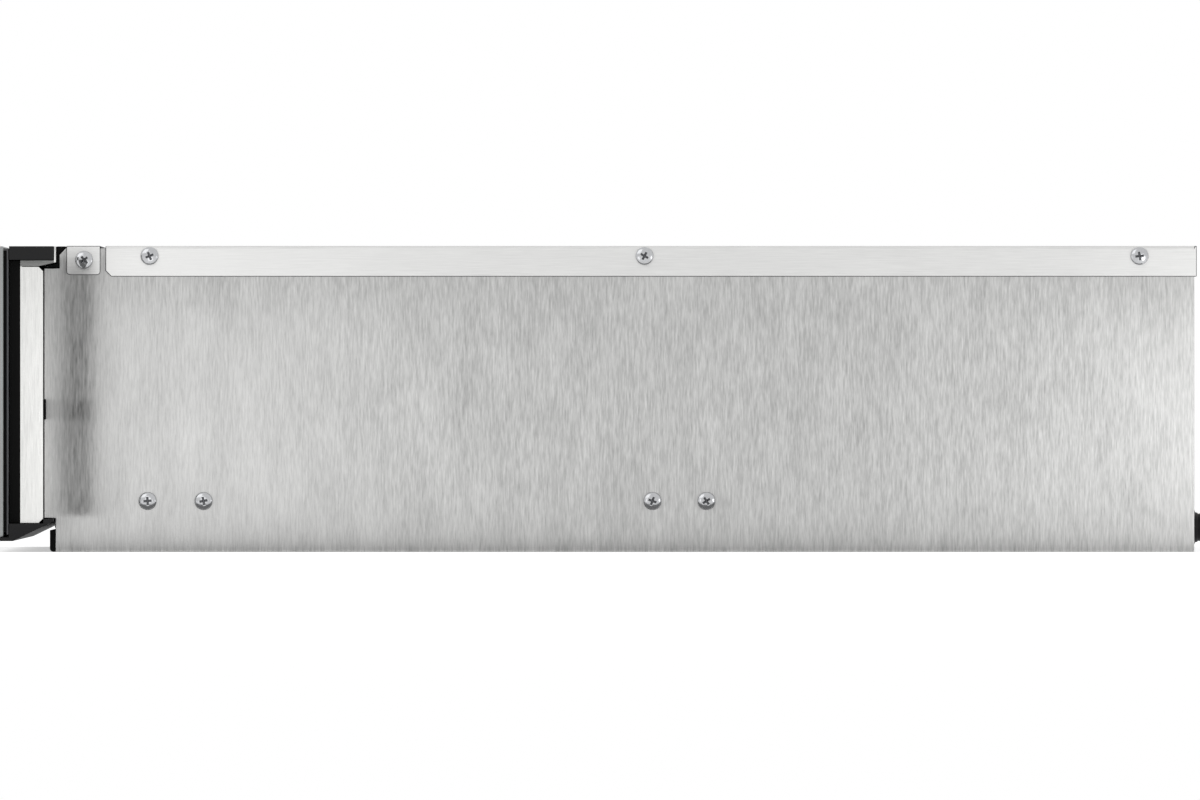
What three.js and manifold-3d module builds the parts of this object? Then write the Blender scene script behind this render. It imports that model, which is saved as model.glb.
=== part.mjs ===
// A built-in warming drawer, 14 cm high, for a kitchen niche 60 cm wide.
// Millimetres: X is the width, Y the depth from the glass to the wall, Z the height.
// Every piece is drawn with Y = 0 on the glass face, and the whole is centred at the end.
import * as THREE from 'three'
import { mergeVertices } from 'three/addons/utils/BufferGeometryUtils.js'
import Module from 'manifold-3d'

const wasm = await Module()
wasm.setup()

// ---- Whole appliance ----
const HEIGHT = 140
const FRONT_WIDTH = 595
const CASING_WIDTH = 560
const CASING_DEPTH = 550
const GAP = 0.3 // between pieces that touch

// ---- Sheet metal ----
const CASING_SHEET = 1
const LID_SHEET = 0.8
const DRAWER_SHEET = 0.8
const BEND_RADIUS = 1.2 // to the middle of the sheet
const BEND_STEPS = 3 // flats on each bend

// ---- Door: glass, tape, backplate, carrier, pan ----
const GLASS_THICKNESS = 4.3
const GLASS_BOTTOM = 7
const GLASS_TOP_SETBACK = 0.2
const GLASS_CORNER = 1.5
const GLASS_CHAMFER = 0.5
const TAPE_THICKNESS = 0.9
const TAPE_WIDTH = 14
const TAPE_INSET = 2
const BACKPLATE_THICKNESS = 0.8
const BACKPLATE_INSET = 1
const CARRIER_DEPTH = 4.7
const CARRIER_WALL = 1.2
const CARRIER_RIBS = 5
const PAN_DEPTH = 10.4
const PAN_OVERHANG = 9 // beyond the casing on each side
const PAN_BOTTOM = 13.3
const PAN_CORNER = 2
const HEM_FOLD = 8.2 // level part under the top cap, before it rises to the lip behind the cap
const HEM_HEIGHT = 2.6
const DOOR_GAP = 0.4 // shut door to casing
const BUFFER_WIDTH = 7
const BUFFER_HEIGHT = 9.6
const BUFFER_THICKNESS = 1
const BUFFER_CORNER = 2
const BUFFER_CHAMFER = 0.4
const BUFFER_HEIGHT_ABOVE_BASE = 60.4

// ---- Top cap with its keys and board ----
const CAP_DEPTH = 20.2
const CAP_HEIGHT = 6.2
const CAP_WALL = 1.5
const KEY_LENGTH = 14
const KEY_DEPTH = 8.5
const KEY_CORNER = 1.5
const KEY_FLANGE = 1.5
const KEY_FLANGE_THICKNESS = 1
const KEY_TRAVEL = 0.6
const KEY_INSET = 30 // first key from the end of the cap
const KEY_PITCH = 26
const LENS_LENGTH = 34
const LENS_DEPTH = 3.4
const LENS_CORNER = 1
const LENS_INSET = 90
const BOARD_THICKNESS = 1.6
const BOARD_LENGTH = 120
const SWITCH_SIZE = 6
const POST_RADIUS = 2.4
const POST_INSET = 7.2 // from each end of the board

// ---- Grip lip under the door ----
const LIP_REAR_THICKNESS = 1.1
const LIP_REAR_TOP = 15.1
const LIP_BOTTOM = 5
const LIP_NOSE_REACH = 3 // under the glass
const LIP_RADIUS = 1.6

// ---- Casing ----
const SIDE_NOTCH_DEPTH = 5.2
const SIDE_TOP_NOTCH_DEPTH = 7
const SIDE_TOP_NOTCH_HEIGHT = 10
const SIDE_TOP_CHAMFER = 3
const FRONT_RETURN = 10
const RUNNER_CUTOUT_TOP = 48
const REAR_RETURN = 12
const BOTTOM_FLANGE = 4.5
const BEAD_WIDTH = 12
const BEAD_CREST = 6
const BEAD_HEIGHT = 1.6
const BEAD_END = 36 // from the sides of the pan
const BEADS = 3
const LID_FRONT = 50.8
const LID_FLANGE = 14
const LID_CORNER = 2.6
const RAIL_FRONT = 32.9
const RAIL_DEPTH = 15.5
const RAIL_LIP = 9.5
const TAB_HEIGHT = 13.3
const TAB_CORNER = 1.6
const SILL_THICKNESS = 2.3
const SILL_HEIGHT = 10
const SILL_TONGUE = 18
const SILL_RADIUS = 1.6
const BACK_FLANGE = 12

// ---- Vent slots ----
const SLOT_WIDTH = 3.4
const LID_SLOT_LENGTH = 44
const LID_SLOTS = 7
const LID_SLOT_PITCH = 10
const LID_SLOT_OFFSET = 150 // middle of each group from the middle of the lid
const LID_SLOT_REAR_INSET = 86.2 // middle of each group from the rear of the lid
const BACK_SLOT_LENGTH = 30
const BACK_SLOTS = 12
const BACK_SLOT_PITCH = 10
const BACK_SLOT_DROP = 52 // middle of the row from the top of the lid

// ---- Screws ----
const SCREW_RADIUS = 1.8
const SCREW_REACH = 4 // past the sheet
const SCREW_HEAD_RADIUS = 4.1
const SCREW_HEAD_HEIGHT = 2.2
const SCREW_RIM_HEIGHT = 1
const SCREW_CROWN_RADIUS = 3
const SCREW_CROWN_HEIGHT = 1.9
const SCREW_SIDES = 12
const LID_SCREW_DROP = 4.6
const LID_SCREW_FRONT_INSET = 20.1
const LID_SCREW_REAR_INSET = 26.2
const RAIL_SCREW_DROP = 6.4
const RUNNER_SCREWS = [20, 45.6, 251, 275.7] // from the front end of the runner

// ---- Ball runners ----
const RUNNER_HEIGHT = 35
const RUNNER_WIDTH = 12.2
const RUNNER_SHEET = 1.2
const RUNNER_BEND = 0.9
const RUNNER_FRONT = 50
const RUNNER_REAR_ROOM = 46.6 // from the runner's rear end to the back panel
const RUNNER_CENTRE = 23.3
const OUTER_SETBACK = 1.4
const MIDDLE_SETBACK = 1
const HOOK = 2.6
const BALL_DIAMETER = 2.9
const BALLS = 7 // in each row
const BALL_SIDES = 6
const CAGE_SHEET = 0.6
const CAGE_END_ROOM = 107 // at each end of the runner, for the cage's own travel
const CAGE_MARGIN = 12

// ---- Drawer box ----
const DRAWER_LIFT = 1 // underside of the drawer above the sill
const DRAWER_TOP_ROOM = 20
const SIDE_WALL_WIDTH = 31.1
const TRAY_FLANGE = 11
const INSULATION_THICKNESS = 6
const HEATER_RADIUS = 3.2
const HEATER_RUNS = 6
const HEATER_SIDE_MARGIN = 74
const HEATER_END_MARGIN = 55
const HEATER_SIDES = 8
const HEATER_BEND_STEPS = 6
const HEATER_AIR = 1 // between the heater and the glass
const BASE_GLASS_THICKNESS = 4
const BASE_GLASS_CORNER = 2
const BASE_GLASS_CHAMFER = 0.6

// ---- Fan behind the drawer ----
const REAR_ROOM = 21.2 // from the motor to the back panel
const HOUSING_HALF_WIDTH = 110
const HOUSING_MARGIN = 14.5 // above and below, to the edges of the drawer's back
const HOUSING_DEPTH = 44
const HOUSING_FLANGE = 9
const HOUSING_CORNER = 6
const GRILLE_PITCH = 8
const OUTLET_SLOTS = 5
const OUTLET_LENGTH = 44
const OUTLET_OFFSET = 76
const IMPELLER_ROOM = 6 // rim to the housing
const IMPELLER_WIDTH = 18
const IMPELLER_DISC = 1.2
const IMPELLER_EYE = 17
const IMPELLER_SIDES = 20
const HUB_RADIUS = 7
const HUB_SETBACK = 3
const HUB_CHAMFER = 1
const BLADES = 14
const BLADE_THICKNESS = 1
const BLADE_RIM_INSET = 0.5
const BLADE_SWEEP = 0.75 // radians, from the eye to the rim
const BLADE_CURVE = 1.5 // how late the sweep sets in
const BLADE_STEPS = 4
const FAN_CLEARANCE = 10 // impeller disc to the housing's rear wall
const SHAFT_RADIUS = 2.5
const SHAFT_REACH = 14
const SHAFT_END_ROOM = 1
const SHAFT_HOLE_ROOM = 2
const BEARING_CLEARANCE = 0.35
const MOTOR_RADIUS = 20
const MOTOR_LENGTH = 22
const MOTOR_CHAMFER = 1.5
const MOTOR_BOSS_RADIUS = 8
const MOTOR_BOSS_LENGTH = 4
const LIMITER_RADIUS = 9
const LIMITER_HEIGHT = 6
const LIMITER_OFFSET = 62
const LIMITER_BLADE_WIDTH = 6.3
const LIMITER_BLADE_THICKNESS = 0.8
const LIMITER_BLADE_LENGTH = 8
const LIMITER_BLADE_INSET = 3

// ---- Mains inlet ----
const GLAND_INSET = 80 // from the side of the casing
const GLAND_HEIGHT = 11
const GLAND_RADIUS = 7
const GLAND_FLANGE = 9
const GLAND_SHOULDER = 0.6
const GLAND_NOSE = 8
const GLAND_NOSE_RADIUS = 5
const GLAND_BORE = 3.6
const GLAND_NUT = 8
const TERMINAL_ROOM = 9 // from the gland's nut
const TERMINAL_WIDTH = 40
const TERMINAL_DEPTH = 24
const TERMINAL_HEIGHT = 19
const TERMINAL_POLES = 3
const TERMINAL_SCREW_RADIUS = 3

// ---- Places that follow from the sizes above ----
const tapeFront = GLASS_THICKNESS + GAP
const backplateFront = tapeFront + TAPE_THICKNESS + GAP
const carrierFront = backplateFront + BACKPLATE_THICKNESS + GAP
const carrierBack = carrierFront + CARRIER_DEPTH
const panFront = carrierBack + GAP
const panBack = panFront + PAN_DEPTH
const panHalf = CASING_WIDTH / 2 + PAN_OVERHANG
const casingFront = panBack + DOOR_GAP
const glassTop = HEIGHT - GLASS_TOP_SETBACK
const capBack = carrierFront + CAP_DEPTH
const capHalf = FRONT_WIDTH / 2 - BACKPLATE_INSET
const capBottom = glassTop - CAP_HEIGHT
const capRoof = glassTop - CAP_WALL
const panLipFront = capBack + GAP
const panLipBack = panLipFront + DRAWER_SHEET
const carrierTop = capBottom - GAP
const panTop = carrierTop - HEM_HEIGHT - GAP
const hemFoldBack = panFront + HEM_FOLD
const hemUnderside = carrierTop - DRAWER_SHEET // at the lip
const boardBottom = capBottom + GAP
const boardTop = boardBottom + BOARD_THICKNESS
const keyFlangeTop = capRoof - GAP
const keyFlangeBottom = keyFlangeTop - KEY_FLANGE_THICKNESS
const keyMiddle = (carrierFront + capBack) / 2
const sideOuter = CASING_WIDTH / 2 - LID_SHEET - GAP
const sideInner = sideOuter - CASING_SHEET
const lidUnderside = HEIGHT - LID_SHEET
const sideTop = lidUnderside - GAP
const sideTopNotch = HEIGHT - SIDE_TOP_NOTCH_HEIGHT - GAP
const lidRear = CASING_DEPTH - LID_SHEET
const sideRear = lidRear - GAP
const backRear = sideRear - CASING_SHEET - GAP
const backFront = backRear - CASING_SHEET
const sideNotchFront = casingFront + SIDE_NOTCH_DEPTH
const sideNotchTop = LIP_REAR_TOP + GAP
const bottomFlangeInner = sideInner - GAP - CASING_SHEET
const railScrewPlace = RAIL_FRONT + RAIL_DEPTH / 2 + GAP
const lidScrewFront = LID_FRONT + LID_SCREW_FRONT_INSET
const lidScrewRear = CASING_DEPTH - LID_SCREW_REAR_INSET
const lidScrewPlaces = [lidScrewFront, (lidScrewFront + lidScrewRear) / 2, lidScrewRear]
const runnerScrewPlaces = RUNNER_SCREWS.map((inset) => RUNNER_FRONT + inset)
const runnerWall = sideInner - GAP
const runnerBack = backFront - RUNNER_REAR_ROOM
const motorFront = backFront - REAR_ROOM - MOTOR_BOSS_LENGTH - MOTOR_LENGTH
const housingBack = motorFront - GAP
const housingFront = housingBack - HOUSING_DEPTH
const discBack = housingBack - FAN_CLEARANCE
const drawerOuter = runnerWall - RUNNER_WIDTH - GAP
const drawerInner = drawerOuter - SIDE_WALL_WIDTH
const drawerFront = panBack + GAP
const drawerBackFront = housingFront - GAP - DRAWER_SHEET
const drawerBottom = SILL_HEIGHT + DRAWER_LIFT
const drawerTop = HEIGHT - DRAWER_TOP_ROOM
const trayFront = sideNotchFront
const trayHalf = drawerOuter - DRAWER_SHEET - GAP
const insulationBottom = drawerBottom + DRAWER_SHEET + GAP
const heaterBottom = insulationBottom + INSULATION_THICKNESS + GAP
const baseGlassBottom = heaterBottom + 2 * HEATER_RADIUS + HEATER_AIR
const baseGlassTop = baseGlassBottom + BASE_GLASS_THICKNESS
const trayTop = baseGlassBottom - GAP
const fanHeight = (drawerBottom + drawerTop) / 2
const housingHalfHeight = (drawerTop - drawerBottom) / 2 - HOUSING_MARGIN
const impellerRadius = housingHalfHeight - IMPELLER_ROOM
const glandPlace = CASING_WIDTH / 2 - GLAND_INSET
const overallDepth = CASING_DEPTH + GLAND_NOSE

// ---- Solids ----
const ARC_STEPS = 2 // flats on each round stretch of an outline
const MERGE = 1e-4 // points closer than this are one
const OVERRUN = 1 // of a cutter past the face that it cuts
const TURNED_SIDES = 20

function solidOf(geometry) {
  geometry.deleteAttribute('normal')
  geometry.deleteAttribute('uv')
  const merged = mergeVertices(geometry, MERGE)
  const vertProperties = Float32Array.from(merged.attributes.position.array)
  const triVerts = Uint32Array.from(merged.index.array)
  return new wasm.Manifold(new wasm.Mesh({ numProp: 3, vertProperties, triVerts }))
}

function geometryOf(solid) {
  const mesh = solid.getMesh()
  const geometry = new THREE.BufferGeometry()
  const corners = mesh.vertProperties.length / mesh.numProp
  const positions = new Float32Array(corners * 3)
  for (let i = 0; i < corners; i++) {
    for (let axis = 0; axis < 3; axis++) {
      positions[i * 3 + axis] = mesh.vertProperties[i * mesh.numProp + axis]
    }
  }
  geometry.setAttribute('position', new THREE.BufferAttribute(positions, 3))
  geometry.setIndex(Array.from(mesh.triVerts))
  geometry.computeVertexNormals()
  return geometry
}

function joined(solids) {
  return solids.reduce((whole, next) => whole.add(next))
}

function cut(solid, cutters) {
  return cutters.reduce((left, cutter) => left.subtract(cutter), solid)
}

function block(x0, x1, y0, y1, z0, z1) {
  const geometry = new THREE.BoxGeometry(Math.abs(x1 - x0), Math.abs(y1 - y0), Math.abs(z1 - z0))
  geometry.translate((x0 + x1) / 2, (y0 + y1) / 2, (z0 + z1) / 2)
  return solidOf(geometry)
}

// An outline is swept straight from one place to the other along the axis named.
function swept(outlines, from, to, across, up, along, chamfer = 0) {
  const low = Math.min(from, to)
  const high = Math.max(from, to)
  const geometry = new THREE.ExtrudeGeometry(outlines, {
    depth: high - low - 2 * chamfer,
    bevelEnabled: chamfer > 0,
    bevelThickness: chamfer,
    bevelSize: chamfer,
    bevelOffset: -chamfer,
    bevelSegments: 1,
    curveSegments: ARC_STEPS,
  })
  geometry.applyMatrix4(new THREE.Matrix4().makeBasis(across, up, along))
  const start = Math.max(...along.toArray()) > 0 ? low + chamfer : high - chamfer
  geometry.translate(
    Math.abs(along.x) * start,
    Math.abs(along.y) * start,
    Math.abs(along.z) * start,
  )
  return solidOf(geometry)
}

const X = new THREE.Vector3(1, 0, 0)
const Y = new THREE.Vector3(0, 1, 0)
const Z = new THREE.Vector3(0, 0, 1)
const BACKWARD = new THREE.Vector3(0, -1, 0)

// Outlines hold (y, z) along X, (x, z) along Y and (x, y) along Z.
function alongX(outlines, from, to) {
  return swept(outlines, from, to, Y, Z, X)
}

function alongY(outlines, from, to, chamfer) {
  return swept(outlines, from, to, X, Z, BACKWARD, chamfer)
}

function alongZ(outlines, from, to, chamfer) {
  return swept(outlines, from, to, X, Y, Z, chamfer)
}

function outline(points) {
  return new THREE.Shape(points.map(([a, b]) => new THREE.Vector2(a, b)))
}

function rectangle(left, right, bottom, top, radius = 0) {
  if (radius === 0) {
    return outline([[left, bottom], [right, bottom], [right, top], [left, top]])
  }
  const shape = new THREE.Shape()
  shape.absarc(right - radius, top - radius, radius, 0, Math.PI / 2)
  shape.absarc(left + radius, top - radius, radius, Math.PI / 2, Math.PI)
  shape.absarc(left + radius, bottom + radius, radius, Math.PI, 1.5 * Math.PI)
  shape.absarc(right - radius, bottom + radius, radius, 1.5 * Math.PI, 2 * Math.PI)
  return shape
}

function circle(a, b, radius) {
  const shape = new THREE.Shape()
  const third = (2 * Math.PI) / 3
  for (let arc = 0; arc < 3; arc++) {
    shape.absarc(a, b, radius, arc * third, (arc + 1) * third)
  }
  return shape
}

// A strip of sheet whose middle line follows the path, with round bends.
function bentSheet(path, thickness, radius = BEND_RADIUS) {
  const points = path.map(([a, b]) => new THREE.Vector2(a, b))
  const leftOf = (direction) => new THREE.Vector2(-direction.y, direction.x)
  const leftSide = []
  const rightSide = []
  points.forEach((corner, i) => {
    const before = points[i - 1] ?? corner.clone().multiplyScalar(2).sub(points[1])
    const after = points[i + 1] ?? corner.clone().multiplyScalar(2).sub(points[i - 1])
    const inward = corner.clone().sub(before).normalize()
    const onward = after.clone().sub(corner).normalize()
    const angle = Math.asin(THREE.MathUtils.clamp(inward.cross(onward), -1, 1))
    const side = Math.sign(angle) || 1
    const trim = radius * Math.tan(Math.abs(angle) / 2)
    const centre = corner.clone().addScaledVector(inward, -trim)
    centre.addScaledVector(leftOf(inward), side * radius)
    const last = Math.abs(angle) > MERGE ? BEND_STEPS : 0
    for (let step = 0; step <= last; step++) {
      const turn = last ? (angle * step) / last : 0
      const spoke = leftOf(inward).multiplyScalar(-side).rotateAround(new THREE.Vector2(), turn)
      leftSide.push(centre.clone().addScaledVector(spoke, radius - (side * thickness) / 2))
      rightSide.push(centre.clone().addScaledVector(spoke, radius + (side * thickness) / 2))
    }
  })
  return new THREE.Shape([...leftSide, ...rightSide.reverse()])
}

function turned(profile, sides = TURNED_SIDES) {
  const points = profile.map(([radius, along]) => new THREE.Vector2(radius, along))
  return new THREE.LatheGeometry(points, sides)
}

function mirroredX(path) {
  return [...path, ...path.map(([a, b]) => [-a, b]).reverse()]
}

// ---- Holes ----
function holesAlongX(places, height, radius, from, to) {
  return alongX(places.map((place) => circle(place, height, radius)), from, to)
}

function row(count, pitch, make) {
  return Array.from({ length: count }, (_, i) => make((i - (count - 1) / 2) * pitch))
}

function uprightSlot(middle, height, length) {
  const reach = (length - SLOT_WIDTH) / 2
  const shape = new THREE.Shape()
  shape.absarc(middle, height + reach, SLOT_WIDTH / 2, 0, Math.PI)
  shape.absarc(middle, height - reach, SLOT_WIDTH / 2, Math.PI, 2 * Math.PI)
  return shape
}

function levelSlot(middle, height, length) {
  const reach = (length - SLOT_WIDTH) / 2
  const shape = new THREE.Shape()
  shape.absarc(middle + reach, height, SLOT_WIDTH / 2, -Math.PI / 2, Math.PI / 2)
  shape.absarc(middle - reach, height, SLOT_WIDTH / 2, Math.PI / 2, 1.5 * Math.PI)
  return shape
}

// ---- Door ----
function frontGlass() {
  const face = rectangle(-FRONT_WIDTH / 2, FRONT_WIDTH / 2, GLASS_BOTTOM, glassTop, GLASS_CORNER)
  return alongY(face, 0, GLASS_THICKNESS, GLASS_CHAMFER)
}

function glassTape() {
  const half = FRONT_WIDTH / 2 - TAPE_INSET
  const bottom = GLASS_BOTTOM + TAPE_INSET
  const top = glassTop - TAPE_INSET
  const frame = rectangle(-half, half, bottom, top)
  const inside = rectangle(
    TAPE_WIDTH - half,
    half - TAPE_WIDTH,
    bottom + TAPE_WIDTH,
    top - TAPE_WIDTH,
  )
  frame.holes.push(inside)
  return alongY(frame, tapeFront, tapeFront + TAPE_THICKNESS)
}

function glassBackplate() {
  const plate = rectangle(-capHalf, capHalf, GLASS_BOTTOM + BACKPLATE_INSET, glassTop - BACKPLATE_INSET)
  return alongY(plate, backplateFront, backplateFront + BACKPLATE_THICKNESS)
}

function doorCarrier() {
  const floor = carrierFront + CARRIER_WALL
  const tray = block(-panHalf, panHalf, carrierFront, carrierBack, PAN_BOTTOM, carrierTop)
  const hollow = block(
    CARRIER_WALL - panHalf,
    panHalf - CARRIER_WALL,
    floor,
    carrierBack + OVERRUN,
    PAN_BOTTOM + CARRIER_WALL,
    carrierTop - CARRIER_WALL,
  )
  const pitch = (2 * panHalf) / (CARRIER_RIBS + 1)
  const half = CARRIER_WALL / 2
  const ribs = row(CARRIER_RIBS, pitch, (x) => (
    block(x - half, x + half, carrierFront, carrierBack - GAP, PAN_BOTTOM, carrierTop)
  ))
  return joined([tray.subtract(hollow), ...ribs])
}

function doorTopCap() {
  const shell = block(-capHalf, capHalf, carrierFront, capBack, capBottom, glassTop)
  const hollow = block(
    CAP_WALL - capHalf,
    capHalf - CAP_WALL,
    carrierFront + CAP_WALL,
    capBack - CAP_WALL,
    capBottom - OVERRUN,
    capRoof,
  )
  const posts = boardPosts().map((x) => (
    alongZ(circle(x, keyMiddle, POST_RADIUS), boardTop + GAP, glassTop - CAP_WALL / 2)
  ))
  const windows = [...keyPlaces().map((x) => keyOutline(x, GAP)), lensOutline(GAP)]
  return joined([shell.subtract(hollow), ...posts]).subtract(alongZ(windows, capBottom, glassTop + OVERRUN))
}

function keyPlaces() {
  return [capHalf - KEY_INSET, capHalf - KEY_INSET - KEY_PITCH]
}

function boardPosts() {
  const end = capHalf - CAP_WALL - POST_INSET
  return [end, end - BOARD_LENGTH + 2 * POST_INSET]
}

function keyOutline(x, margin) {
  const half = KEY_LENGTH / 2 + margin
  const reach = KEY_DEPTH / 2 + margin
  return rectangle(x - half, x + half, keyMiddle - reach, keyMiddle + reach, KEY_CORNER)
}

function lensOutline(margin) {
  const x = capHalf - LENS_INSET
  const half = LENS_LENGTH / 2 + margin
  const reach = LENS_DEPTH / 2 + margin
  return rectangle(x - half, x + half, keyMiddle - reach, keyMiddle + reach, LENS_CORNER)
}

function key(x) {
  const top = alongZ(keyOutline(x, 0), keyFlangeBottom, glassTop)
  const flange = keyOutline(x, KEY_FLANGE)
  return top.add(alongZ(flange, keyFlangeBottom, keyFlangeTop))
}

function indicatorLens() {
  const light = alongZ(lensOutline(0), keyFlangeBottom, glassTop)
  const flange = lensOutline(KEY_FLANGE)
  return light.add(alongZ(flange, keyFlangeBottom, keyFlangeTop))
}

function controlBoard() {
  const end = capHalf - CAP_WALL - GAP
  const front = carrierFront + CAP_WALL + GAP
  const back = capBack - CAP_WALL - GAP
  const half = SWITCH_SIZE / 2
  const switchTop = keyFlangeBottom - KEY_TRAVEL - GAP
  const switches = keyPlaces().map((x) => (
    block(x - half, x + half, keyMiddle - half, keyMiddle + half, boardBottom, switchTop)
  ))
  return joined([block(end - BOARD_LENGTH, end, front, back, boardBottom, boardTop), ...switches])
}

function frontPan() {
  const corner = PAN_CORNER
  const section = outline([
    [panFront, PAN_BOTTOM],
    [panBack - corner, PAN_BOTTOM],
    [panBack, PAN_BOTTOM + corner],
    [panBack, panTop - corner],
    [panBack - corner, panTop],
    [panFront, panTop],
  ])
  const sheet = DRAWER_SHEET
  const hollow = outline([
    [panFront - OVERRUN, PAN_BOTTOM + sheet],
    [panBack - corner - sheet / 2, PAN_BOTTOM + sheet],
    [panBack - sheet, PAN_BOTTOM + corner + sheet / 2],
    [panBack - sheet, panTop - corner - sheet / 2],
    [panBack - corner - sheet / 2, panTop - sheet],
    [panFront - OVERRUN, panTop - sheet],
  ])
  const hem = outline([
    [panFront, panTop - sheet / 2],
    [panFront + sheet, panTop - sheet / 2],
    [panFront + sheet, panTop + GAP],
    [hemFoldBack, panTop + GAP],
    [panLipBack, hemUnderside],
    [panLipBack, glassTop],
    [panLipFront, glassTop],
    [panLipFront, carrierTop],
    [panFront, carrierTop],
  ])
  const tray = alongX(section, -panHalf, panHalf)
  const inside = alongX(hollow, sheet - panHalf, panHalf - sheet)
  return tray.subtract(inside).add(alongX(hem, -panHalf, panHalf))
}

function buffer(side) {
  const middle = side * (panHalf - PAN_OVERHANG / 2)
  const half = BUFFER_WIDTH / 2
  const pad = rectangle(
    middle - half,
    middle + half,
    BUFFER_HEIGHT_ABOVE_BASE,
    BUFFER_HEIGHT_ABOVE_BASE + BUFFER_HEIGHT,
    BUFFER_CORNER,
  )
  return alongY(pad, drawerFront, drawerFront + BUFFER_THICKNESS, BUFFER_CHAMFER)
}

function gripLip() {
  const top = PAN_BOTTOM - GAP
  const noseTop = GLASS_BOTTOM - GAP
  const noseFront = GLASS_THICKNESS + GAP - LIP_NOSE_REACH + LIP_RADIUS
  const section = new THREE.Shape()
  section.moveTo(carrierFront, top)
  section.lineTo(carrierFront, noseTop)
  section.lineTo(noseFront - LIP_RADIUS, noseTop)
  section.absarc(noseFront, LIP_BOTTOM + LIP_RADIUS, LIP_RADIUS, Math.PI, 1.5 * Math.PI)
  section.lineTo(carrierFront + LIP_RADIUS, LIP_BOTTOM)
  section.lineTo(capBack, LIP_REAR_TOP - LIP_REAR_THICKNESS)
  section.lineTo(capBack, LIP_REAR_TOP)
  section.lineTo(panBack + GAP, LIP_REAR_TOP)
  section.lineTo(panBack + GAP, top)
  return alongX(section, -capHalf, capHalf)
}

// ---- Casing ----
function sidePanel(side) {
  const topFront = casingFront + SIDE_TOP_NOTCH_DEPTH
  const web = outline([
    [sideNotchFront, 0],
    [sideRear, 0],
    [sideRear, sideTop],
    [topFront + SIDE_TOP_CHAMFER, sideTop],
    [topFront, sideTop - SIDE_TOP_CHAMFER],
    [topFront, sideTopNotch],
    [casingFront, sideTopNotch],
    [casingFront, sideNotchTop],
    [sideNotchFront, sideNotchTop],
  ])
  const inside = side * sideInner
  const outside = side * sideOuter
  const panel = joined([
    alongX(web, inside, outside),
    block(
      side * (sideInner - FRONT_RETURN),
      outside,
      casingFront,
      casingFront + CASING_SHEET,
      RUNNER_CUTOUT_TOP,
      sideTopNotch,
    ),
    block(
      side * (sideInner - REAR_RETURN),
      outside,
      sideRear - CASING_SHEET,
      sideRear,
      BOTTOM_FLANGE,
      sideTop,
    ),
  ])
  const reach = [side * (sideInner - OVERRUN), side * (sideOuter + OVERRUN)]
  return cut(panel, [
    screwHoles(lidScrewPlaces, HEIGHT - LID_SCREW_DROP, reach),
    screwHoles([railScrewPlace], HEIGHT - RAIL_SCREW_DROP, reach),
    screwHoles(runnerScrewPlaces, RUNNER_CENTRE, reach),
  ])
}

function bottomPan() {
  const half = sideInner - GAP - CASING_SHEET / 2
  const middle = CASING_SHEET / 2
  const path = [[-half, BOTTOM_FLANGE], [-half, middle], [half, middle], [half, BOTTOM_FLANGE]]
  const sheet = alongY(bentSheet(path, CASING_SHEET), sideNotchFront, backRear)
  const clearOfBack = block(
    -sideInner,
    sideInner,
    backFront - GAP,
    backRear + OVERRUN,
    CASING_SHEET + GAP / 2,
    BOTTOM_FLANGE + OVERRUN,
  )
  const pitch = (backRear - sideNotchFront) / (BEADS + 1)
  const start = (backRear + sideNotchFront) / 2
  const beadHalf = half - BEAD_END
  const bead = (y, inset, base, crest) => outline([
    [start + y - BEAD_WIDTH / 2 + inset, base],
    [start + y + BEAD_WIDTH / 2 - inset, base],
    [start + y + (BEAD_CREST - inset) / 2, crest],
    [start + y - (BEAD_CREST - inset) / 2, crest],
  ])
  const raised = row(BEADS, pitch, (y) => bead(y, 0, CASING_SHEET / 2, CASING_SHEET + BEAD_HEIGHT))
  const grooves = row(BEADS, pitch, (y) => bead(y, CASING_SHEET, -OVERRUN, BEAD_HEIGHT))
  const ribbed = sheet.add(alongX(raised, -beadHalf, beadHalf))
  return cut(ribbed, [alongX(grooves, CASING_SHEET - beadHalf, beadHalf - CASING_SHEET), clearOfBack])
}

function backPanel() {
  const half = bottomFlangeInner - GAP
  const plate = rectangle(-half, half, CASING_SHEET + GAP, sideTop)
  plate.holes.push(...row(BACK_SLOTS, BACK_SLOT_PITCH, (x) => (
    uprightSlot(x, HEIGHT - BACK_SLOT_DROP, BACK_SLOT_LENGTH)
  )))
  plate.holes.push(circle(glandPlace, GLAND_HEIGHT, GLAND_RADIUS + GAP))
  const flange = block(-half, half, backRear - BACK_FLANGE, backRear, sideTop - CASING_SHEET, sideTop)
  return alongY(plate, backFront, backRear).add(flange)
}

function topCover() {
  const side = (CASING_WIDTH - LID_SHEET) / 2
  const roof = HEIGHT - LID_SHEET / 2
  const bottom = HEIGHT - LID_FLANGE
  const path = [[-side, bottom], [-side, roof], [side, roof], [side, bottom]]
  const sheet = alongY(bentSheet(path, LID_SHEET), LID_FRONT, lidRear)
  const tail = block(-CASING_WIDTH / 2, CASING_WIDTH / 2, lidRear, CASING_DEPTH, bottom, HEIGHT)
  const corner = outline([
    [LID_FRONT - OVERRUN, bottom - OVERRUN],
    [LID_FRONT + LID_CORNER + OVERRUN, bottom - OVERRUN],
    [LID_FRONT - OVERRUN, bottom + LID_CORNER + OVERRUN],
  ])
  const slotMiddle = CASING_DEPTH - LID_SLOT_REAR_INSET
  const slots = [-LID_SLOT_OFFSET, LID_SLOT_OFFSET].flatMap((x) => (
    row(LID_SLOTS, LID_SLOT_PITCH, (y) => levelSlot(x, slotMiddle + y, LID_SLOT_LENGTH))
  ))
  const reach = CASING_WIDTH / 2 + OVERRUN
  return cut(sheet.add(tail), [
    alongX(corner, -reach, reach),
    alongZ(slots, lidUnderside - OVERRUN, HEIGHT + OVERRUN),
    screwHoles(lidScrewPlaces, HEIGHT - LID_SCREW_DROP, [-reach, reach]),
  ])
}

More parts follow.
